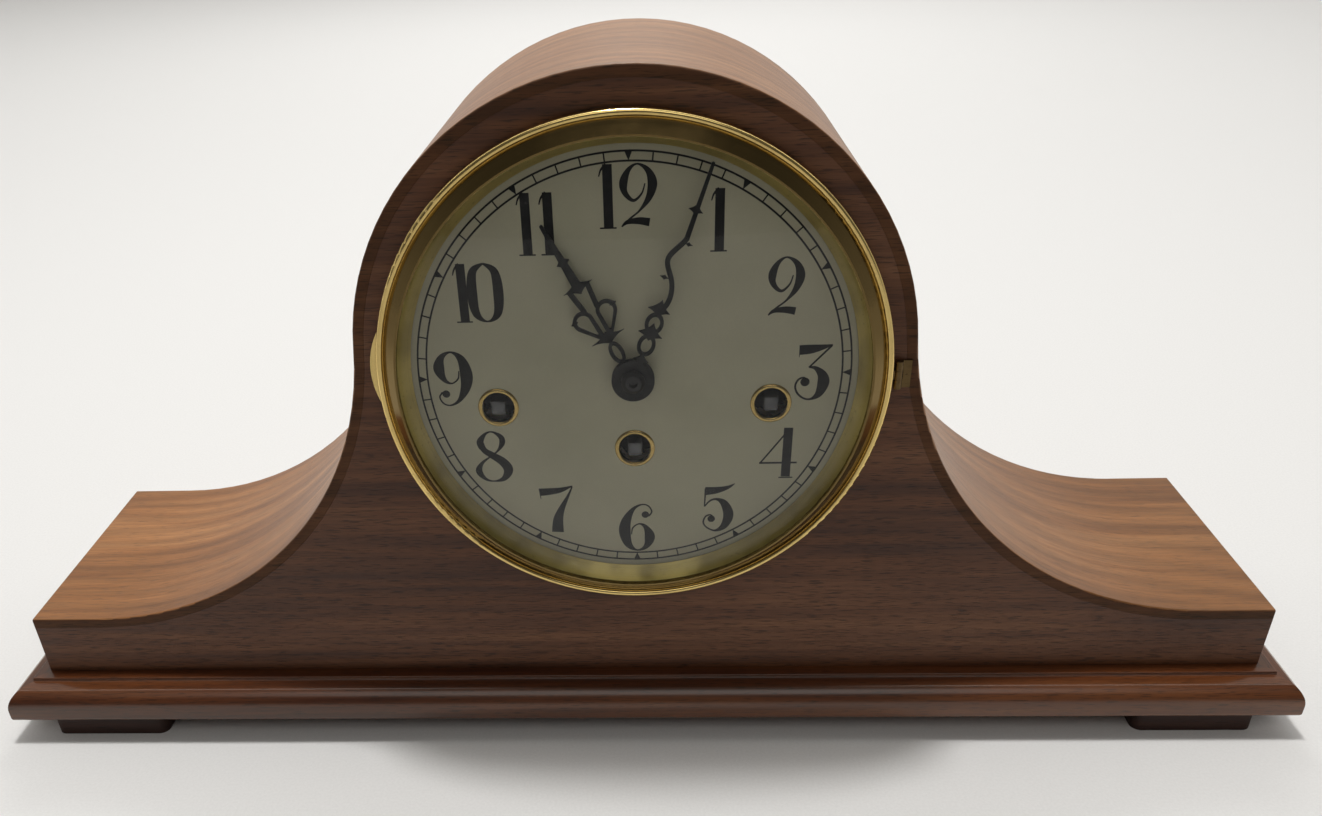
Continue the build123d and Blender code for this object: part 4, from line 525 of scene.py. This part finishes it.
# Near-black brass for the bezel hinge
DARK_HINGE_BRASS = brass(
    "bezel_hinge_brass_dark", (0.15, 0.10, 0.045), (0.07, 0.045, 0.02),
    roughness=0.34, spun=False, aged=0.8,
)
TIPPED_BRASS = nut_and_arbor()
TIPPED_STEEL = arbor_steel()
NODE_MATERIALS = {
    "bezel_hinge_case_leaf": DARK_HINGE_BRASS,
    "bezel_hinge_bezel_leaf": DARK_HINGE_BRASS,
    "bezel_hinge_pin": DARK_HINGE_BRASS,
    "centre_wheel": TIPPED_BRASS,
    "cannon_pinion": TIPPED_BRASS,
    "time_winding_arbor": TIPPED_STEEL,
    "strike_winding_arbor": TIPPED_STEEL,
    "chime_winding_arbor": TIPPED_STEEL,
}
NODE_SLOTS = {
    "front_walnut": ("front_panel", "end_blocks"),
    "top_walnut": ("tambour_top",),
    "base_walnut": ("base_board",),
    "foot_walnut": ("feet",),
    "back_wood": ("back_panel", "rear_door"),
    "block_iron": ("rod_block",),
    "bezel_brass": ("bezel_ring", "bezel_thumb_tab"),
    "reflector_brass": ("reflector_ring", "dial_pan"),
    "dial_paint": ("dial_plate",),
    "crystal": ("bezel_glass",),
    "hand_black": ("minute_hand", "hour_hand", "hand_nut"),
    "hinge_brass": ("door_knob", "door_hinge_case_leaves", "door_hinge_door_leaves"),
    "pin_steel": ("door_hinge_pins", "hammer_arbor"),
    "movement_steel": (
        "pillar_nuts", "movement_straps", "pallet_lever", "chime_rods", "time_click", "strike_click",
        "chime_click", "time_mainspring", "strike_mainspring", "chime_mainspring",
    ),
}


def dress_nodes():
    """Give every solid its material; what is in no list belongs to the brass movement."""
    chosen = {node: SLOT_MATERIALS[slot] for slot, nodes in NODE_SLOTS.items() for node in nodes}
    chosen.update(NODE_MATERIALS)
    for name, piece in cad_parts.items():
        material = chosen.get(name, SLOT_MATERIALS["movement_brass"])
        for slot in piece.material_slots:
            slot.material = material


# Printing on the dial: numbers drawn as strokes of changing width, and the minute track

NUMBER_HEIGHT = 21.0 * MM
NUMBER_RADIUS = 62.6 * MM
NUMBER_WIDTH_SHARE = 0.88
NUMBER_WIDTH = NUMBER_WIDTH_SHARE * NUMBER_HEIGHT
INK_LIFT = 0.06 * MM
TRACK_STEPS = 180
TRACK_OUTER = 76.8 * MM
TRACK_INNER = 73.7 * MM
TRACK_LINE = 0.65 * MM
TICK_WIDTH = 0.5 * MM
HOUR_MARK_WIDTH = 2.6 * MM
STROKE_STEPS = 8
BALL_SIDES = 24

# Each digit is strokes of (x, height, width) and a ball of (x, height, radius): x is a share of NUMBER_WIDTH,
# the rest are shares of NUMBER_HEIGHT, and so are the offsets that move digits sideways
STROKE_SHARES = {
    "0": [[(0, 0.985, 0.03), (0.2, 0.85, 0.13), (0.245, 0.5, 0.17), (0.2, 0.15, 0.13), (0, 0.015, 0.03),
           (-0.2, 0.15, 0.13), (-0.245, 0.5, 0.17), (-0.2, 0.85, 0.13), (0, 0.985, 0.03)]],
    "1": [[(0.02, 0.02, 0.15), (0.02, 0.5, 0.15), (0.02, 0.985, 0.15)],
          [(-0.13, 0.80, 0.02), (-0.09, 0.90, 0.03), (0, 0.985, 0.05)],
          [(-0.14, 0.012, 0.024), (0.16, 0.012, 0.024)]],
    "2": [[(0.115, 0.687, 0.02), (0.055, 0.533, 0.03), (-0.093, 0.43, 0.05), (-0.24, 0.55, 0.09),
           (-0.26, 0.714, 0.13), (-0.165, 0.896, 0.07), (-0.01, 0.978, 0.03), (0.17, 0.88, 0.09),
           (0.247, 0.687, 0.15), (0.18, 0.467, 0.10), (0.016, 0.275, 0.035), (-0.165, 0.148, 0.03),
           (-0.31, 0.027, 0.025)],
          [(-0.31, 0.03, 0.02), (-0.2, 0.10, 0.07), (0, 0.115, 0.11), (0.19, 0.09, 0.13)]],
    "3": [[(-0.278, 0.905, 0.17), (-0.05, 0.92, 0.155), (0.18, 0.955, 0.085), (0.341, 0.99, 0.02)],
          [(-0.27, 0.99, 0.02), (-0.276, 0.78, 0.012)],
          [(0.33, 0.98, 0.035), (-0.08, 0.596, 0.03)],
          [(-0.08, 0.60, 0.03), (0.05, 0.58, 0.07), (0.18, 0.46, 0.16), (0.213, 0.315, 0.20),
           (0.14, 0.12, 0.13), (0, 0.025, 0.045), (-0.14, 0.035, 0.035), (-0.27, 0.13, 0.035),
           (-0.32, 0.26, 0.035), (-0.27, 0.375, 0.035), (-0.17, 0.415, 0.03), (-0.10, 0.37, 0.03)]],
    "4": [[(0.2, 0.97, 0.03), (-0.36, 0.305, 0.03)], [(-0.38, 0.305, 0.035), (0.37, 0.305, 0.035)],
          [(0.17, 0.98, 0.16), (0.155, 0.03, 0.16)], [(0.02, 0.012, 0.024), (0.3, 0.012, 0.024)]],
    "5": [[(-0.272, 0.845, 0.165), (-0.044, 0.862, 0.13), (0.176, 0.915, 0.07), (0.316, 0.99, 0.015)],
          [(-0.272, 0.9, 0.03), (-0.29, 0.53, 0.025)],
          [(-0.29, 0.53, 0.025), (-0.173, 0.65, 0.035), (-0.03, 0.675, 0.055), (0.12, 0.58, 0.14),
           (0.205, 0.35, 0.185), (0.12, 0.125, 0.13), (-0.06, 0.025, 0.045), (-0.235, 0.09, 0.03),
           (-0.31, 0.2, 0.03), (-0.265, 0.32, 0.03), (-0.17, 0.355, 0.03), (-0.11, 0.31, 0.03)]],
    "6": [[(0.25, 0.74, 0.03), (0.318, 0.835, 0.028), (0.25, 0.953, 0.028), (0.114, 0.985, 0.03),
           (-0.063, 0.894, 0.07), (-0.21, 0.66, 0.17), (-0.25, 0.42, 0.215), (-0.18, 0.15, 0.14),
           (0, 0.02, 0.035), (0.19, 0.10, 0.10), (0.27, 0.306, 0.19), (0.19, 0.51, 0.09),
           (0.055, 0.582, 0.03), (-0.08, 0.5, 0.028), (-0.11, 0.36, 0.02)]],
    "7": [[(-0.33, 0.865, 0.15), (-0.15, 0.875, 0.14), (0.1, 0.905, 0.10), (0.35, 0.985, 0.02)],
          [(-0.335, 0.94, 0.02), (-0.31, 0.73, 0.015)],
          [(0.345, 0.97, 0.025), (0.25, 0.78, 0.05), (0.11, 0.53, 0.11), (0.02, 0.3, 0.18),
           (-0.005, 0.03, 0.22)]],
    "8": [[(-0.2, 0.66, 0.09), (-0.22, 0.80, 0.12), (-0.1, 0.95, 0.05), (0.04, 0.985, 0.03),
           (0.2, 0.89, 0.09), (0.22, 0.77, 0.1), (0.12, 0.62, 0.04), (-0.05, 0.5, 0.03),
           (-0.22, 0.38, 0.06), (-0.3, 0.22, 0.12), (-0.18, 0.06, 0.06), (0, 0.015, 0.03),
           (0.2, 0.07, 0.1), (0.3, 0.24, 0.17), (0.2, 0.4, 0.16), (0, 0.53, 0.13),
           (-0.15, 0.63, 0.11), (-0.22, 0.78, 0.12)]],
}
BALL_SHARES = {"3": (-0.138, 0.335, 0.078), "5": (-0.147, 0.272, 0.068), "6": (0.184, 0.775, 0.068)}
STROKE_SHARES["9"] = [[(-x, 1 - height, width) for x, height, width in STROKE_SHARES["6"][0]]]
BALL_SHARES["9"] = (-0.184, 0.225, 0.068)
OFFSET_SHARES = {
    "1": (-0.10,), "2": (-0.08,), "3": (0.04,), "4": (-0.06,), "7": (0.04,), "8": (0.05,),
    "9": (-0.08,), "10": (-0.195, 0.195), "11": (-0.165, 0.190), "12": (-0.350, 0.145),
}


def between(before, start, end, after, t):
    """A value at share t of the way from start to end, smooth with its neighbours."""
    square = 2 * before - 5 * start + 4 * end - after
    cube = 3 * start - before - 3 * end + after
    return 0.5 * (2 * start + (end - before) * t + square * t ** 2 + cube * t ** 3)


def curve_points(points):
    """A smooth run through given points, each with its width."""
    ends = [points[0], *points, points[-1]]
    run = []
    for four in zip(ends, ends[1:], ends[2:], ends[3:]):
        for step in range(STROKE_STEPS):
            run.append(tuple(between(*values, step / STROKE_STEPS) for values in zip(*four)))
    run.append(points[-1])
    return run


class Print:
    """Flat ink on the dial, gathered as corners and faces; x to the right and y up from its centre."""

    def __init__(self):
        self.corners = []
        self.faces = []

    def face(self, corners):
        start = len(self.corners)
        self.corners += corners
        self.faces.append(range(start, start + len(corners)))

    def stroke(self, run):
        sides = []
        for i, (x, y, width) in enumerate(run):
            x0, y0, _ = run[max(i - 1, 0)]
            x1, y1, _ = run[min(i + 1, len(run) - 1)]
            length = sqrt((x1 - x0) ** 2 + (y1 - y0) ** 2)
            over_x = -(y1 - y0) / length * width / 2
            over_y = (x1 - x0) / length * width / 2
            sides.append(((x + over_x, y + over_y), (x - over_x, y - over_y)))
        for (left0, right0), (left1, right1) in zip(sides, sides[1:]):
            self.face([left0, right0, right1, left1])

    def ball(self, x, y, radius):
        turns = [2 * pi * i / BALL_SIDES for i in range(BALL_SIDES)]
        self.face([(x + radius * cos(t), y + radius * sin(t)) for t in turns])

    def piece(self, name, material):
        mesh = bpy.data.meshes.new(name)
        places = [(x, DIAL_FACE_Y - INK_LIFT, DIAL_Z + y) for x, y in self.corners]
        mesh.from_pydata(places, [], self.faces)
        mesh.materials.append(material)
        piece = bpy.data.objects.new(name, mesh)
        scene.collection.objects.link(piece)
        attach(piece, "case")


def print_numbers(material):
    ink = Print()
    for hour in range(1, 13):
        word = str(hour)
        angle = radians(30 * hour)
        middle = (NUMBER_RADIUS * sin(angle), NUMBER_RADIUS * cos(angle))
        for digit, offset in zip(word, OFFSET_SHARES.get(word, (0,))):
            left = middle[0] + offset * NUMBER_HEIGHT
            foot = middle[1] - NUMBER_HEIGHT / 2
            for stroke in STROKE_SHARES[digit]:
                run = curve_points(stroke)
                ink.stroke([
                    (left + x * NUMBER_WIDTH, foot + y * NUMBER_HEIGHT, width * NUMBER_HEIGHT)
                    for x, y, width in run
                ])
            if digit in BALL_SHARES:
                x, y, radius = BALL_SHARES[digit]
                ink.ball(left + x * NUMBER_WIDTH, foot + y * NUMBER_HEIGHT, radius * NUMBER_HEIGHT)
    ink.piece("dial_numbers", material)


def print_track(material):
    ink = Print()
    for radius in (TRACK_OUTER, TRACK_INNER):
        turns = [2 * pi * i / TRACK_STEPS for i in range(TRACK_STEPS + 1)]
        ink.stroke([(radius * sin(t), radius * cos(t), TRACK_LINE) for t in turns])
    for minute in range(60):
        turn = 2 * pi * minute / 60
        way = Vector((sin(turn), cos(turn)))
        across = Vector((cos(turn), -sin(turn)))
        if minute % 5:
            inner = way * TRACK_INNER
            outer = way * TRACK_OUTER
            ink.stroke([(*inner, TICK_WIDTH), (*outer, TICK_WIDTH)])
        else:
            base = way * TRACK_OUTER
            half = across * HOUR_MARK_WIDTH / 2
            ink.face([tuple(base + half), tuple(base - half), tuple(way * TRACK_INNER)])
    ink.piece("minute_track", material)


# Pieces that stand for solids: the domed glass, rolled eyelets and the base with its full roll

TURN_STEPS = 96
SHARP_ANGLE = radians(38)
GLASS_THICKNESS = 2.0 * MM
GLASS_RINGS = 20
EYELET_RADIUS = 7.4 * MM
EYELET_BORE = 5.7 * MM
EYELET_BARREL = 6.3 * MM
EYELET_HEIGHT = 0.7 * MM
LEDGE_OUT = 5.4 * MM
LEDGE_STEP = 0.6 * MM
LEDGE_ROUND = 0.3 * MM
COVE_OUT = 5.9 * MM
COVE_DROP = 1.5 * MM
NOSE_LAND = 3.4 * MM
NOSE_ROUND = 2.0 * MM
ARC_STEPS = 14


def quarter(centre, across, up, start_turn):
    """Points along a quarter of an ellipse, from one quarter turn to the next."""
    turns = [(start_turn + step / ARC_STEPS) * pi / 2 for step in range(ARC_STEPS + 1)]
    return [(centre[0] + across * cos(t), centre[1] + up * sin(t)) for t in turns]


def stand_in(shape, name, node, body, material):
    """Turn built faces into the piece that stands for a solid."""
    bmesh.ops.recalc_face_normals(shape, faces=shape.faces)
    mesh = bpy.data.meshes.new(name)
    shape.to_mesh(mesh)
    shape.free()
    mesh.shade_smooth()
    mesh.set_sharp_from_angle(angle=SHARP_ANGLE)
    mesh.materials.append(material)
    piece = bpy.data.objects.new(name, mesh)
    scene.collection.objects.link(piece)
    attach(piece, body)
    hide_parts(node)


def spin(shape, profile, centre, closed):
    """Turn a profile of (radius, y) about a line along Y; a radius of nothing is a single point."""
    rings = []
    for radius, y in profile:
        count = TURN_STEPS if radius else 1
        ring = []
        for i in range(count):
            turn = 2 * pi * i / count
            place = (centre[0] + radius * cos(turn), y, centre[1] + radius * sin(turn))
            ring.append(shape.verts.new(place))
        rings.append(ring)
    ends = rings[1:] + (rings[:1] if closed else [])
    for first, second in zip(rings, ends):
        for i in range(TURN_STEPS):
            j = i + 1
            start_side = (first[i % len(first)], first[j % len(first)])
            end_side = (second[j % len(second)], second[i % len(second)])
            shape.faces.new(dict.fromkeys(start_side + end_side))


def add_glass():
    """A domed glass of even thickness that fills the box of the solid."""
    low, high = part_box("bezel_glass")
    rim = high.x
    rim_y = high.y - GLASS_THICKNESS
    crown = rim_y - low.y
    sphere = (rim ** 2 + crown ** 2) / (2 * crown)
    radii = [rim * i / GLASS_RINGS for i in range(GLASS_RINGS + 1)]
    front = [(r, rim_y - sqrt(sphere ** 2 - r ** 2) + sphere - crown) for r in radii]
    back = [(r, y + GLASS_THICKNESS) for r, y in reversed(front)]
    shape = bmesh.new()
    spin(shape, front + back, (0, DIAL_Z), False)
    stand_in(shape, "bezel_crystal", "bezel_glass", "bezel", SLOT_MATERIALS["crystal"])


def add_eyelets(material):
    """A rolled rim in front of the dial and a barrel through it, at each winding hole."""
    low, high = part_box("winding_grommets")
    half = (EYELET_RADIUS - EYELET_BORE) / 2
    roll = quarter((EYELET_BORE + half, DIAL_FACE_Y), half, EYELET_HEIGHT, 2)
    roll += quarter((EYELET_BORE + half, DIAL_FACE_Y), half, EYELET_HEIGHT, 3)[1:]
    barrel = [(EYELET_BARREL, DIAL_FACE_Y), (EYELET_BARREL, high.y), (EYELET_BORE, high.y)]
    side_x = high.x - EYELET_RADIUS
    side_z = high.z - EYELET_RADIUS
    shape = bmesh.new()
    for centre in ((-side_x, side_z), (0, low.z + EYELET_RADIUS), (side_x, side_z)):
        spin(shape, roll + barrel, centre, True)
    stand_in(shape, "winding_eyelets", "winding_grommets", "case", material)


def add_base():
    """A low ledge, a fine hollow, a full roll and a flat nose, with mitred corners."""
    low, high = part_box("base_board")
    nose = high.x - HALF_WIDTH
    land = low.z + NOSE_ROUND + NOSE_LAND
    hollow_top = high.z - LEDGE_STEP
    hollow_low = high.z - COVE_DROP
    ledge_round_centre = (LEDGE_OUT - LEDGE_ROUND, high.z - LEDGE_ROUND)
    profile = quarter(ledge_round_centre, LEDGE_ROUND, LEDGE_ROUND, 0)[::-1]
    profile += quarter((COVE_OUT, hollow_top), COVE_OUT - LEDGE_OUT, hollow_top - hollow_low, 2)
    profile += quarter((COVE_OUT, land), nose - COVE_OUT, hollow_low - land, 0)[::-1][1:]
    profile += quarter((nose - NOSE_ROUND, low.z + NOSE_ROUND), NOSE_ROUND, -NOSE_ROUND, 0)
    shape = bmesh.new()
    loops = []
    for out, z in profile:
        x = HALF_WIDTH + out
        y = HALF_DEPTH + out
        places = ((-x, -y, z), (x, -y, z), (x, y, z), (-x, y, z))
        loops.append([shape.verts.new(place) for place in places])
    for first, second in zip(loops, loops[1:]):
        for i in range(4):
            j = (i + 1) % 4
            shape.faces.new((first[i], first[j], second[j], second[i]))
    shape.faces.new(loops[0])
    shape.faces.new(loops[-1])
    stand_in(shape, "moulded_base", "base_board", "case", SLOT_MATERIALS["base_walnut"])


# Slotted screws in the hinge leaves and the straps

SLOT_SIDE_SHARE = 0.13
SLOT_FLOOR_SHARE = 0.129
HALF_LINE_SHARES = (SLOT_FLOOR_SHARE, SLOT_SIDE_SHARE, 0.2, 0.45, 0.7, 0.9, 1.0)
SCREW_LINE_SHARES = tuple(-share for share in reversed(HALF_LINE_SHARES)) + HALF_LINE_SHARES
SCREW_STEPS = 8
SCREW_DOME_SHARE = 0.30
SCREW_RIM_SHARE = 0.12
SLOT_HEIGHT_SHARE = 0.02
RIM_LIMIT_SHARE = 0.999
LEAST_HALF_SHARE = 0.02
FIRST_SLOT_TURN = 37
NEXT_SLOT_TURN = 61
LEAF_SCREW_SHARES = (0.09, 0.26, 0.74, 0.91)
LEAF_SCREW_RADIUS = 2.0 * MM
LEAF_SCREW_INSET = 5.0 * MM
LEAF_FACE_Y = HALF_DEPTH + 1.0 * MM
STRAP_SCREW_RADIUS = 2.6 * MM
STRAP_SCREW_INSET = 6.0 * MM
STRAP_FACE_Y = -42.0 * MM


def screws(name, places, outwards, radius, body, material):
    """Domed slotted heads on a face that looks along Y; outwards is the sign of that way."""
    corners = []
    faces = []
    for number, (x, y, z) in enumerate(places):
        turn = radians(FIRST_SLOT_TURN + NEXT_SLOT_TURN * number)
        start = len(corners)
        for line in SCREW_LINE_SHARES:
            half = sqrt(max(1 - line * line, LEAST_HALF_SHARE ** 2))
            for step in range(SCREW_STEPS + 1):
                along = half * (2 * step / SCREW_STEPS - 1)
                rim = line * line + along * along
                if rim >= RIM_LIMIT_SHARE:
                    height = 0.0
                elif abs(line) <= SLOT_FLOOR_SHARE:
                    height = SLOT_HEIGHT_SHARE
                else:
                    height = SCREW_DOME_SHARE * (1 - rim) + SCREW_RIM_SHARE
                side_x = x + radius * (line * cos(turn) - along * sin(turn))
                side_z = z + radius * (line * sin(turn) + along * cos(turn))
                corners.append((side_x, y + outwards * radius * height, side_z))
        row = SCREW_STEPS + 1
        for i in range(len(SCREW_LINE_SHARES) - 1):
            for step in range(SCREW_STEPS):
                a = start + i * row + step
                faces.append((a, a + 1, a + row + 1, a + row))
    mesh = bpy.data.meshes.new(name)
    mesh.from_pydata(corners, [], faces)
    mesh.materials.append(material)
    piece = bpy.data.objects.new(name, mesh)
    scene.collection.objects.link(piece)
    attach(piece, body)


def add_screws():
    brass_finish = SLOT_MATERIALS["hinge_brass"]
    case_low, case_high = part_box("door_hinge_case_leaves")
    door_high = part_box("door_hinge_door_leaves")[1]
    heights = [case_low.z + share * (case_high.z - case_low.z) for share in LEAF_SCREW_SHARES]
    case_places = [(case_low.x + LEAF_SCREW_INSET, LEAF_FACE_Y, z) for z in heights]
    door_places = [(door_high.x - LEAF_SCREW_INSET, LEAF_FACE_Y, z) for z in heights]
    screws("case_leaf_screws", case_places, 1, LEAF_SCREW_RADIUS, "case", brass_finish)
    screws("door_leaf_screws", door_places, 1, LEAF_SCREW_RADIUS, "back_door", brass_finish)
    strap_low, strap_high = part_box("movement_straps")
    strap_places = [
        (side * (strap_high.x - STRAP_SCREW_INSET), STRAP_FACE_Y, z)
        for side in (-1, 1)
        for z in (strap_low.z + STRAP_SCREW_INSET, strap_high.z - STRAP_SCREW_INSET)
    ]
    steel_finish = SLOT_MATERIALS["pin_steel"]
    screws("strap_screws", strap_places, 1, STRAP_SCREW_RADIUS, "case", steel_finish)


# Studio: pale floor, soft light from above and behind

FLOOR_HALF = 4.0
FRONT_WALL_LIGHT = 0.09
BACK_WALL_LIGHT = 0.80
HIGH_WALL_SHARE = 0.55
STRIP_SLOPE = 0.12
STRIP_LIGHT = 2.4
FILL_LIGHT = 0.10
WINDOW_SLOPE = -0.85
WINDOW_LIGHT = 1.3
ROOM_COLOUR = (1.0, 0.985, 0.96, 1.0)
KEY_PLACE = (-0.10, 0.16, 1.7)
KEY_TARGET = (-0.10, 1.06, 0)
BACK_PLACE = (0, 2.2, 2.0)
BACK_TARGET = (0, 2.4, 0)


def add_floor():
    g = Graph("floor_pale")
    weave = g.noise(g.place, 900.0, 2.0)
    g.set("Base Color", g.two_tone(weave, (0.78, 0.77, 0.75), (0.82, 0.81, 0.79)))
    g.set("Roughness", 0.9)
    half = FLOOR_HALF
    corners = [(-half, -half, 0), (half, -half, 0), (half, half, 0), (-half, half, 0)]
    mesh = bpy.data.meshes.new("floor")
    mesh.from_pydata(corners, [], [(0, 1, 2, 3)])
    mesh.materials.append(g.material)
    floor = bpy.data.objects.new("floor", mesh)
    scene.collection.objects.link(floor)


def aim(name, data, place, target):
    lamp = bpy.data.objects.new(name, data)
    lamp.location = place
    lamp.rotation_euler = (Vector(target) - Vector(place)).to_track_quat("-Z", "Y").to_euler()
    scene.collection.objects.link(lamp)


def add_lamp(name, place, target, size, power):
    data = bpy.data.lights.new(name, "AREA")
    data.shape = "DISK"
    data.size = size
    data.energy = power
    aim(name, data, place, target)


class RoomGraph(Graph):
    """The node tree of the room's light, read by direction."""

    def __init__(self, name):
        self.world = bpy.data.worlds.new(name)
        self.world.use_nodes = True
        self.tree = self.world.node_tree
        self.shader = self.tree.nodes["Background"]
        self.place = self.tree.nodes.new("ShaderNodeTexCoord").outputs["Generated"]


def add_world():
    """A room with pale walls behind, a long soft light overhead and a window high in front."""
    g = RoomGraph("room")
    x, y, z = g.split(g.place)
    slope = g.math("DIVIDE", y, g.math("MAXIMUM", z, 0.02))

    def band(centre, inner, outer, strength):
        """Light along one slope of the room, fading at both sides."""
        away = g.math("ABSOLUTE", g.math("SUBTRACT", slope, centre))
        return g.span(away, inner, outer, strength, 0.0)

    back = g.span(y, -0.45, 0.55, FRONT_WALL_LIGHT, BACK_WALL_LIGHT)
    walls = g.math("MULTIPLY", back, g.span(z, 0.15, 0.60, 1.0, HIGH_WALL_SHARE))
    strip = g.math("MULTIPLY", band(STRIP_SLOPE, 0.06, 0.12, STRIP_LIGHT), g.span(z, 0.40, 0.55, 0.0, 1.0))
    fill = g.math("MULTIPLY", g.span(y, -0.60, -0.15, 1.0, 0.0), g.span(z, 0.12, 0.40, 0.0, FILL_LIGHT))
    width = g.span(g.math("ABSOLUTE", x), 0.30, 0.42, 1.0, 0.0)
    pane = g.math("MULTIPLY", band(WINDOW_SLOPE, 0.28, 0.42, WINDOW_LIGHT), width)
    window = g.math("MULTIPLY", pane, g.span(z, 0.30, 0.40, 0.0, 1.0))
    g.set("Strength", g.math("MAXIMUM", g.math("MAXIMUM", walls, strip), g.math("MAXIMUM", fill, window)))
    g.set("Color", ROOM_COLOUR)
    scene.world = g.world


def add_spot(name, place, target, angle, blend, radius, power):
    data = bpy.data.lights.new(name, "SPOT")
    data.spot_size = radians(angle)
    data.spot_blend = blend
    data.shadow_soft_size = radius
    data.energy = power
    aim(name, data, place, target)


add_camera()
dress_nodes()
ink_finish = black_paint("dial_ink", roughness=0.55, relief=FINE_RELIEF)
eyelet_finish = brass(
    "eyelet_brass_polished", (0.46, 0.33, 0.12), (0.22, 0.14, 0.05), roughness=0.10, spun=False, aged=0.3,
)
print_numbers(ink_finish)
print_track(ink_finish)
add_glass()
add_eyelets(eyelet_finish)
add_base()
add_screws()
add_floor()
add_world()
add_spot("key_lamp", KEY_PLACE, KEY_TARGET, angle=90.0, blend=0.24, radius=0.10, power=54.0)
add_lamp("back_lamp", BACK_PLACE, BACK_TARGET, size=1.2, power=22.0)
